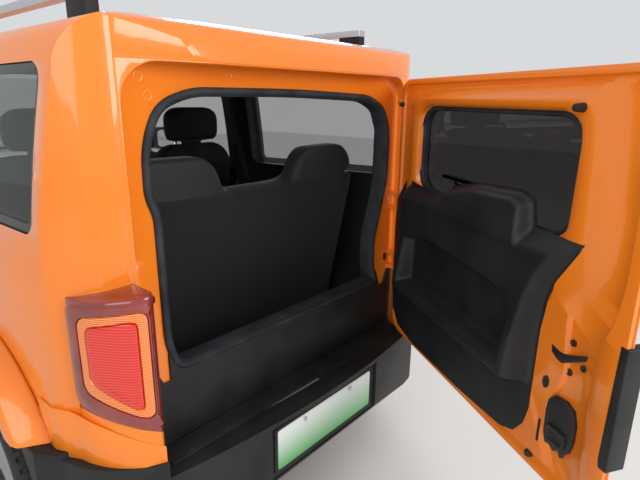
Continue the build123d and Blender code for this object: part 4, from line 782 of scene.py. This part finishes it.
def on_lamp(along, height, depth):
    """A place on the right lamp's face: so far along its plan, at that height, raised by the depth."""
    left = min(max(along, 0), lamp_length - 1e-6)
    for start, end in zip(lamp_plan, lamp_plan[1:]):
        span = (end - start).length
        if left <= span:
            break
        left -= span
    on_plan = start.lerp(end, left / span)
    out = Vector((end.y - start.y, start.x - end.x)).normalized()
    on_plan = on_plan + out * depth
    return (on_plan.x, seal_y + on_plan.y, height)


for zone, finish, zone_rings in (
        ("rim", smoked_rim, ((0.0, -0.004), (0.0, 0.002), (0.002, 0.006), (0.007, 0.0085), (0.032, 0.0095),
                             (0.0345, 0.0085), (0.0355, 0.002))),
        ("band", amber_band, ((0.0355, 0.002), (0.0375, 0.0072), (0.044, 0.0082), (0.056, 0.0082), (0.0585, 0.002))),
        ("core", red_lens, ((0.0585, 0.002), (0.0605, 0.0078), (0.066, 0.009), (0.0715, 0.0095)))):
    rings = []
    for inset, depth in zone_rings:
        grip = max(0.014, 0.036 - inset * 0.25)
        u0, u1 = inset, lamp_length - inset
        corners = ((u0, 0.676 + inset * 1.1), (u1, 0.738 + inset * 1.25), (u1, 1.012 - inset), (u0, 1.036 - inset))
        rings.append((rays_round(corners, grip, (lamp_length / 2, 0.87), lens_points), depth))
    lens = pressed_sheet("tail_lamp_" + zone, rings, on_lamp)
    if zone == "core":
        take_up(lens)
        last = len(lens.data.vertices) - lens_points
        set_mode("EDIT")
        bpy.ops.mesh.select_mode(type="VERT")
        mark_all("DESELECT")
        set_mode("OBJECT")
        for vertex in lens.data.vertices:
            vertex.select = vertex.index >= last
        set_mode("EDIT")
        bpy.ops.mesh.edge_face_add()
        set_mode("OBJECT")
    take_up(lens)
    mirror = lens.modifiers.new("other_side", "MIRROR")
    bpy.ops.object.modifier_apply(modifier=mirror.name)
    set_mode("EDIT")
    mark_all("SELECT")
    bpy.ops.mesh.normals_make_consistent(inside=False)
    set_mode("OBJECT")
    hang(lens, "root", "lamp_red", finish, smooth=50)
housings = dressed_copy("tail_lamps", "tail_lamp_housings", 0.004, 3)
foot_across, foot_height, foot_rise = 0.6, 0.668, 0.46
for way in (-1, 1):
    cut_across(housings, (way * foot_across, 0, foot_height), (way * -foot_rise, 0, 1))
hang(housings, "root", "lamp_red", smoked_rim)
second_finish(housings, paint, lambda centre, normal: centre.z < foot_height
              + (abs(centre.x) - foot_across) * foot_rise)

# Windows: toughened glass with a black border fired on all round, which hides the bonding. The
# screen and the doors have pale green glass, and the quarter windows dark privacy glass.
door_tint = new_finish("door_glass", (0.62, 0.7, 0.67), 0.0, shine=(3, 3, 0.0, 0.03), Transmission_Weight=1.0,
                       IOR=1.45)
border_black = new_finish("glass_border", (0.006, 0.006, 0.007), 0.1, shine=(25, 3, 0.06, 0.14), Coat_Weight=0.5,
                          Coat_Roughness=0.03)


def bordered_glass(node, body, border, glass, facing):
    """A copy of a CAD pane whose edge carries the black border."""
    pane = dressed_copy(node, node + "_pane", 0)
    pane.data.materials.append(glass)
    pane.data.materials.append(border_black)
    set_mode("EDIT")
    bpy.ops.mesh.select_mode(type="FACE")
    for way in (1, -1):
        mark_all("DESELECT")
        select_faces(pane, lambda centre, normal: facing(normal) * way > 0.6)
        bpy.ops.mesh.inset(thickness=border, use_even_offset=False)
        set_mode("OBJECT")
        for polygon in pane.data.polygons:
            if facing(polygon.normal) * way > 0.6:
                polygon.material_index = 0 if polygon.select else 1
            elif abs(facing(polygon.normal)) <= 0.6:
                polygon.material_index = 1
        set_mode("EDIT")
    set_mode("OBJECT")
    bpy.ops.object.shade_smooth_by_angle(angle=radians(30))
    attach(pane, body)


bordered_glass("quarter_glass", "root", 0.024, privacy_tint, lambda normal: normal.x)
bordered_glass("windscreen", "root", 0.03, door_tint, lambda normal: normal.y * 0.8 + normal.z * 0.6)
for side in ("left", "right"):
    bordered_glass("door_glass_" + side, "door_" + side, 0.014, door_tint, lambda normal: normal.x)

# Side doors: painted pressings with a black pull handle, a rubber strip under the glass and a
# moulded lining. Each mirror is a black shell on a short foot, with its glass set in behind.
mirror_glass = new_finish("mirror_glass", (0.75, 0.77, 0.78), 0.03, shine=(6, 2, 0.02, 0.06), Metallic=1.0)
for side, way in (("left", -1), ("right", 1)):
    body = "door_" + side
    panel = hang(dressed_copy(body, body + "_panel", 0.0018), body, "paint", paint)
    second_finish(panel, moulding, lambda centre, normal: centre.z > 1.07 and normal.x * way < 0.6)
    hang(dressed_copy("door_lining_" + side, f"door_lining_{side}_moulding", 0.006, 3), body, "lining", lining_plastic)
    mirror_shell = dressed_copy("mirror_" + side, f"mirror_{side}_shell", 0.014, 4)
    hang(mirror_shell, body, "gloss_black", black_gloss)
    low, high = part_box("mirror_" + side)
    outer_end = max(abs(low.x), abs(high.x))
    glass_plate = outline_piece(f"mirror_{side}_glass",
                                rounded_box((way * (outer_end - 0.088) - 0.07, high.z - 0.135),
                                            (way * (outer_end - 0.088) + 0.07, high.z - 0.02), 0.028),
                                upright(low.y + 0.004), (0, -0.006, 0))
    step_in(glass_plate, lambda centre, normal: normal.y < -0.9, (0.003, -0.0012))
    hang(glass_plate, body, "alloy", mirror_glass)
    handle_y = seal_y + 1.19
    handle_bar = outline_piece("handle_bar", rounded_box((handle_y, 0.975), (handle_y + 0.18, 1.005), 0.013),
                               lambda along, height: (way * 0.774, along, height), (way * 0.011, 0, 0), 0.0035, 3)
    stands = [outline_piece("stand", rounded_box((spot, 0.978), (spot + 0.026, 1.002), 0.008),
                            lambda along, height: (way * 0.746, along, height), (way * 0.032, 0, 0))
              for spot in (handle_y + 0.008, handle_y + 0.146)]
    hang(join(f"door_handle_{side}", [handle_bar] + stands), body, "dark_moulding", moulding)
    strip = outline_piece("belt_strip", ((seal_y + 1.16, 1.088), (seal_y + 2.142, 1.088), (seal_y + 2.142, 1.101),
                                         (seal_y + 1.16, 1.101)),
                          lambda along, height: (way * (0.7505 - (height - 1.08) * 0.09), along, height),
                          (-way * 0.008, 0, 0), 0.0018)
    hang(strip, body, "seal_rubber", rubber)

# Roof rails: drawn aluminium bars, satin silver, on black moulded feet. The two finishes meet where
# the bars leave the feet.
rail_metal = new_finish("rail_metal", (0.6, 0.61, 0.62), 0.3, Metallic=1.0)
roughness_between(rail_metal, noise_on(rail_metal, 40, 3, (1, 0.05, 1)), 0.24, 0.4)
rail_bars = dressed_copy("roof_rails", "roof_rail_bars", 0.006, 3)
feet_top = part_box("roof_rails")[1].z - 0.0225
cut_across(rail_bars, (0, 0, feet_top), (0, 0, 1))
hang(rail_bars, "root", "rail_metal", rail_metal)
second_finish(rail_bars, moulding, lambda centre, normal: centre.z < feet_top)

# Seats: foam under a black woven cover. The CAD seats are remeshed, reshaped at the headrests and
# swollen a little between their corners by a short cloth simulation.
seat_cloth = new_finish("seat_cloth", (0.011, 0.012, 0.0135), 0.7,
                        tones=(400, 2, (0.008, 0.009, 0.0102), (0.016, 0.0175, 0.0195)), relief=(700, 2, 0.0004, 0.7),
                        Sheen_Weight=0.2, Sheen_Roughness=0.4)
felt = new_finish("cabin_felt", (0.0065, 0.0072, 0.008), 0.95,
                  tones=(300, 3, (0.005, 0.0055, 0.0062), (0.01, 0.011, 0.012)), relief=(600, 3, 0.0005, 0.6),
                  Sheen_Weight=0.1)


def dome(height, top, radius):
    """How much the sides of a pad draw in at a height under its round top."""
    lift = min(max(height - top + radius, 0) / radius, 1)
    return radius * (1 - (1 - lift * lift) ** 0.5)


def rear_head(place):
    """Spreads the foot of a rear headrest and rounds its top."""
    if place.z < 1.15 or abs(place.x) < 0.09:
        return
    side = 1 if place.x > 0 else -1
    height = 1.17 + (place.z - 1.17) * 0.86 if place.z > 1.17 else place.z
    half = 0.175 - dome(height, 1.306, 0.115)
    across = side * (0.335 + (abs(place.x) - 0.275) / 0.135 * half)
    if abs(abs(place.x) - 0.275) < 0.15 and place.z > 1.19:
        place.x, place.z = across, height


def front_head(place):
    """Raises round shoulders on a front seat and rounds its headrest all over."""
    if place.z < 1.08:
        return
    side = 1 if place.x > 0 else -1
    off = side * place.x - 0.35
    if place.z < 1.2 and abs(off) > 0.07 or place.z < 1.18:
        place.z = 1.08 + (place.z - 1.08) * 1.78
        off *= (0.228 - dome(place.z, 1.262, 0.12)) / 0.228
    elif place.z < 1.23:
        place.z = 1.258 + (place.z - 1.18) * 0.28
    else:
        off *= (0.14 - dome(place.z, 1.446, 0.075) - dome(2.68 - place.z, 1.46, 0.06)) / 0.14
        place.z = 1.272 + (place.z - 1.23) * 0.735
    place.x = side * (0.35 + off)


def upholster(node, name, voxel, cap, shape):
    """A stuffed copy of a CAD seat: remeshed, softened at its edges and swollen like foam under cloth."""
    piece = dressed_copy(node, name, 0)
    remesh = piece.modifiers.new("voxels", "REMESH")
    remesh.mode = "VOXEL"
    remesh.voxel_size = voxel
    bpy.ops.object.modifier_apply(modifier=remesh.name)
    for vertex in piece.data.vertices:
        shape(vertex.co)
    soften = piece.modifiers.new("soften", "SMOOTH")
    soften.factor = 0.5
    soften.iterations = 14
    bpy.ops.object.modifier_apply(modifier=soften.name)
    before = [vertex.co.copy() for vertex in piece.data.vertices]
    stuffing = piece.modifiers.new("stuffing", "CLOTH")
    stuffing.settings.use_pressure = True
    stuffing.settings.uniform_pressure_force = 4
    stuffing.settings.effector_weights.gravity = 0
    for frame_number in range(1, 21):
        bpy.context.scene.frame_set(frame_number)
    bpy.ops.object.modifier_apply(modifier=stuffing.name)
    for vertex, place in zip(piece.data.vertices, before):
        moved = vertex.co - place
        if moved.length > cap:
            vertex.co = place + moved * (cap / moved.length)
    bpy.context.scene.frame_set(1)
    fullness = piece.modifiers.new("fullness", "SUBSURF")
    fullness.levels = fullness.render_levels = 1
    hang(piece, "root", "upholstery", seat_cloth, smooth=60)
    return piece


rear_cushions = upholster("rear_seat", "rear_seat_cushions", 0.015, 0.012, rear_head)
second_finish(rear_cushions, felt, lambda centre, normal: normal.y < -0.2 and centre.z < 1.175)
upholster("front_seats", "front_seat_cushions", 0.013, 0.012, front_head)

# Tyres: black rubber spun round the axle, with four grooves round the tread, cut shoulder blocks
# and a raised band on each wall. They sit on cast alloy rims with five bolts and a plain cap.
tyre_rubber = new_finish("tyre_rubber", (0.018, 0.018, 0.018), 0.85,
                         tones=(20, 4, (0.013, 0.013, 0.013), (0.028, 0.027, 0.026)), relief=(500, 3, 0.0002, 0.5))
alloy = new_finish("wheel_alloy", (0.5, 0.51, 0.53), 0.32, shine=(60, 3, 0.26, 0.4), Metallic=1.0)
tyre_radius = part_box("tyre_rear_left")[1].z / 2
half_profile = ((0.0, 0.0), (0.012, 0.0), (0.0125, -0.007), (0.019, -0.007), (0.0195, 0.0), (0.047, -0.0004),
                (0.0475, -0.0075), (0.0545, -0.0075), (0.055, -0.001), (0.076, -0.004), (0.086, -0.0095),
                (0.094, -0.02), (0.1, -0.036), (0.1025, -0.058), (0.1023, -0.062), (0.1005, -0.066), (0.0995, -0.09),
                (0.0985, -0.094), (0.095, -0.108), (0.0895, -0.1125))
tyre_profile = [(-x, drop) for x, drop in half_profile[:0:-1]] + list(half_profile)
steps_round = 120
for place in ("front_left", "front_right", "rear_left", "rear_right"):
    low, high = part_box("tyre_" + place)
    axle = (low + high) / 2
    take_nothing()
    bpy.ops.mesh.primitive_circle_add(vertices=len(tyre_profile), radius=1)
    tread = bpy.context.object
    tread.name = "tyre_tread_" + place
    for vertex, (across, drop) in zip(tread.data.vertices, tyre_profile):
        vertex.co = (axle.x + across, axle.y, axle.z + tyre_radius + drop)
    set_mode("EDIT")
    mark_all("SELECT")
    bpy.ops.mesh.spin(steps=steps_round, dupli=False, angle=2 * pi, center=axle, axis=(1, 0, 0))
    mark_all("SELECT")
    bpy.ops.mesh.remove_doubles(threshold=0.00005)
    bpy.ops.mesh.normals_make_consistent(inside=False)
    bpy.ops.mesh.select_mode(type="FACE")
    mark_all("DESELECT")
    select_faces(tread, lambda centre, normal: 0.056 < abs(centre.x - axle.x) < 0.092
                 and hypot(centre.y - axle.y, centre.z - axle.z) > tyre_radius - 0.022
                 and int(atan2(centre.z - axle.z, centre.y - axle.y) / pi * steps_round / 2 + steps_round) % 2)
    bpy.ops.mesh.inset(thickness=0.0028, depth=-0.005)
    set_mode("OBJECT")
    hang(tread, "wheel_" + place, "tyre", tyre_rubber, smooth=30)
    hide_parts("tyre_" + place)
    way = 1 if axle.x > 0 else -1
    hang(dressed_copy("rim_" + place, f"rim_{place}_casting", 0.0025), "wheel_" + place, "alloy", alloy)
    bolts = [disc("bolt", (axle.x + way * 0.022, axle.y + 0.05 * cos(2 * pi * spot / 5),
                           axle.z + 0.05 * sin(2 * pi * spot / 5)), 0.0095, 0.014, (way, 0, 0), 6) for spot in range(5)]
    hang(join("wheel_bolts_" + place, bolts), "wheel_" + place, "chassis", bolt_metal)

# Front: a gloss black panel between two gloss black headlamps, each with two pale light rings and
# a projector. Wipers rest on the black cowl under the screen.
light_ring = new_finish("light_ring", (0.85, 0.87, 0.88), 0.25, Coat_Weight=0.6, Coat_Roughness=0.05)
bump_by(light_ring, ribs_on(light_ring, 60, "X"), 0.0006, 0.5)
hang(dressed_copy("front_panel", "front_panel_cover", 0.003), "root", "gloss_black", black_gloss)
hang(dressed_copy("headlamps", "headlamp_lenses", 0.003, 3), "root", "lamp_clear", border_black)
nose_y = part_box("headlamps")[1].y
lamp_across, lamp_height, sunk = 0.46, 0.77, 0.014
ring_pieces, bowl_pieces = [], []
for way in (-1, 1):
    for number, (half_x, half_z, high) in enumerate(((0.086, 0.066, 0.003), (0.05, 0.036, 0.0045))):
        corners = [(way * lamp_across + sign * half_x, lamp_height + sign * half_z) for sign in (-1, 1)]
        hoop = outline_piece("hoop", rounded_box(*corners, half_z * 0.6), upright(nose_y - sunk), (0, sunk + high, 0))
        step_in(hoop, lambda centre, normal: normal.y > 0.9, (0.009, 0), (0.001, -0.012))
        round_edges(hoop, 0.001)
        ring_pieces.append(hoop)
    bowl = disc("bowl", (way * lamp_across, nose_y + 0.0015, lamp_height), 0.026, 0.006, (0, 1, 0), 32)
    bowl_pieces.append(bowl)
hang(join("headlamp_light_rings", ring_pieces), "root", "lamp_clear", light_ring)
hang(join("headlamp_projectors", bowl_pieces), "root", "lamp_clear", mirror_glass)
glass_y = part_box("windscreen")[1].y
wipers = []
for pivot_x in (-0.42, 0.12):
    take_nothing()
    bpy.ops.mesh.primitive_cylinder_add(vertices=20, radius=0.014, depth=0.03,
                                        location=(pivot_x, glass_y + 0.022, 1.102),
                                        rotation=(radians(-28), 0, 0))
    pivot = bpy.context.object
    round_edges(pivot, 0.003, 3)
    arm = outline_piece("arm", ((pivot_x - 0.012, 0.0), (pivot_x + 0.012, 0.0), (pivot_x + 0.38, 0.03),
                                (pivot_x + 0.38, 0.036), (pivot_x, 0.02)),
                        lambda across, up: (across, glass_y + 0.024 - up * 0.93, 1.112 + up * 0.98), (0, 0.004, 0.006))
    blade = outline_piece("blade", ((pivot_x + 0.06, 0.024), (pivot_x + 0.5, 0.03), (pivot_x + 0.5, 0.038),
                                    (pivot_x + 0.06, 0.034)),
                          lambda across, up: (across, glass_y + 0.016 - up * 0.93, 1.107 + up * 0.98),
                          (0, 0.006, 0.006))
    wipers += [pivot, arm, blade]
hang(join("screen_wipers", wipers), "root", "dark_moulding", moulding)

# Cabin: black dashboard with a gloss display, a steering wheel in leather, dark pillar trims with
# the seat belts, and black felt over walls, roof and floor.
hang(dressed_copy("cabin_lining", "cabin_felt", 0.002), "root", "lining", felt)
pillar_trim = new_finish("pillar_trim", (0.05, 0.056, 0.062), 0.6,
                         tones=(8, 3, (0.04, 0.045, 0.05), (0.06, 0.067, 0.074)), Specular_IOR_Level=0.3)
belt_web = new_finish("belt_web", (0.02, 0.021, 0.023), 0.8, Sheen_Weight=0.3)
bump_by(belt_web, ribs_on(belt_web, 120, "Y"), 0.0004, 0.6)
for way in (-1, 1):
    side_name = "left" if way < 0 else "right"
    pillar = outline_piece("pillar_trim_" + side_name, ((seal_y + 0.985, 1.06), (seal_y + 1.155, 1.06),
                                                        (seal_y + 1.145, 1.48), (seal_y + 1.02, 1.48)),
                           lambda along, height: (way * (0.712 - max(height - 1.08, 0) * 0.16), along, height),
                           (way * -0.022, 0, 0), 0.008, 3)
    hang(pillar, "root", "lining", pillar_trim)
    web = outline_piece("belt_web_" + side_name, ((seal_y + 1.05, 1.37), (seal_y + 1.096, 1.37),
                                                  (seal_y + 1.03, 1.02), (seal_y + 0.984, 1.02)),
                        lambda along, height: (way * (0.676 - max(height - 1.08, 0) * 0.16), along, height),
                        (way * -0.0015, 0, 0))
    ring = outline_piece("belt_ring_" + side_name, rounded_box((seal_y + 1.042, 1.355), (seal_y + 1.104, 1.395), 0.012),
                         lambda along, height: (way * (0.69 - max(height - 1.08, 0) * 0.16), along, height),
                         (way * -0.016, 0, 0), 0.003)
    hang(join("seat_belt_" + side_name, [web, ring]), "root", "upholstery", belt_web)
hang(dressed_copy("floor_pan", "floor_carpet", 0.004), "root", "paint", felt)
hang(dressed_copy("dashboard", "dashboard_moulding", 0.009, 3), "root", "lining", lining_plastic)
leather = new_finish("wheel_leather", (0.018, 0.018, 0.019), 0.45, shine=(30, 3, 0.38, 0.55),
                     relief=(500, 4, 0.0003, 0.6))
hang(dressed_copy("steering_wheel", "steering_wheel_grip", 0.004, 3), "steering_wheel", "lining", leather)
dash_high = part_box("dashboard")[1]
display = outline_piece("dash_display", rounded_box((-0.135, dash_high.z - 0.165), (0.135, dash_high.z - 0.012), 0.01),
                        upright(dash_high.y - 0.2277), (0, -0.0022, 0), 0.0009)
hang(display, "root", "gloss_black", black_gloss)

# Bumper step: the black tread that closes the gap between the sill cover and the bumper, with six
# low ribs across it.
step_pieces = [outline_piece("step_plate", ((-0.575, 0.0), (0.575, 0.0), (0.56, -0.085), (-0.56, -0.085)),
                             lambda across, along: (across, seal_y - 0.001 + along, 0.5275), (0, 0, 0.006), 0.001)]
for rib in range(6):
    step_pieces.append(outline_piece("rib", rounded_box((-0.5, -0.022 - rib * 0.0105), (0.5, -0.017 - rib * 0.0105),
                                                        0.0022, 2),
                                     lambda across, along: (across, seal_y + along, 0.5325), (0, 0, 0.003), 0.001))
hang(join("bumper_step_plate", step_pieces), "root", "dark_moulding", moulding)

# Under the body: coated black steel for the axle, arms, knuckles and frame, and a cast case round
# the battery and the drive unit.
black_steel = new_finish("black_steel", (0.02, 0.02, 0.021), 0.5,
                         tones=(12, 4, (0.014, 0.014, 0.015), (0.034, 0.032, 0.03)), shine=(25, 3, 0.4, 0.65))
case_metal = new_finish("case_metal", (0.25, 0.26, 0.27), 0.5, shine=(40, 4, 0.4, 0.6), relief=(300, 3, 0.0004, 0.5),
                        Metallic=0.7)
for node, width, body in (("rear_axle", 0.003, "root"), ("front_suspension", 0.003, "root"),
                          ("front_frame", 0.002, "root"), ("knuckle_left", 0.0015, "knuckle_left"),
                          ("knuckle_right", 0.0015, "knuckle_right")):
    hang(dressed_copy(node, node + "_steel", width), body, "chassis", black_steel)
for node, slot_name, width in (("battery_pack", "battery_case", 0.012), ("drive_unit", "alloy", 0.008)):
    hang(dressed_copy(node, node + "_case", width, 3), "root", slot_name, case_metal)
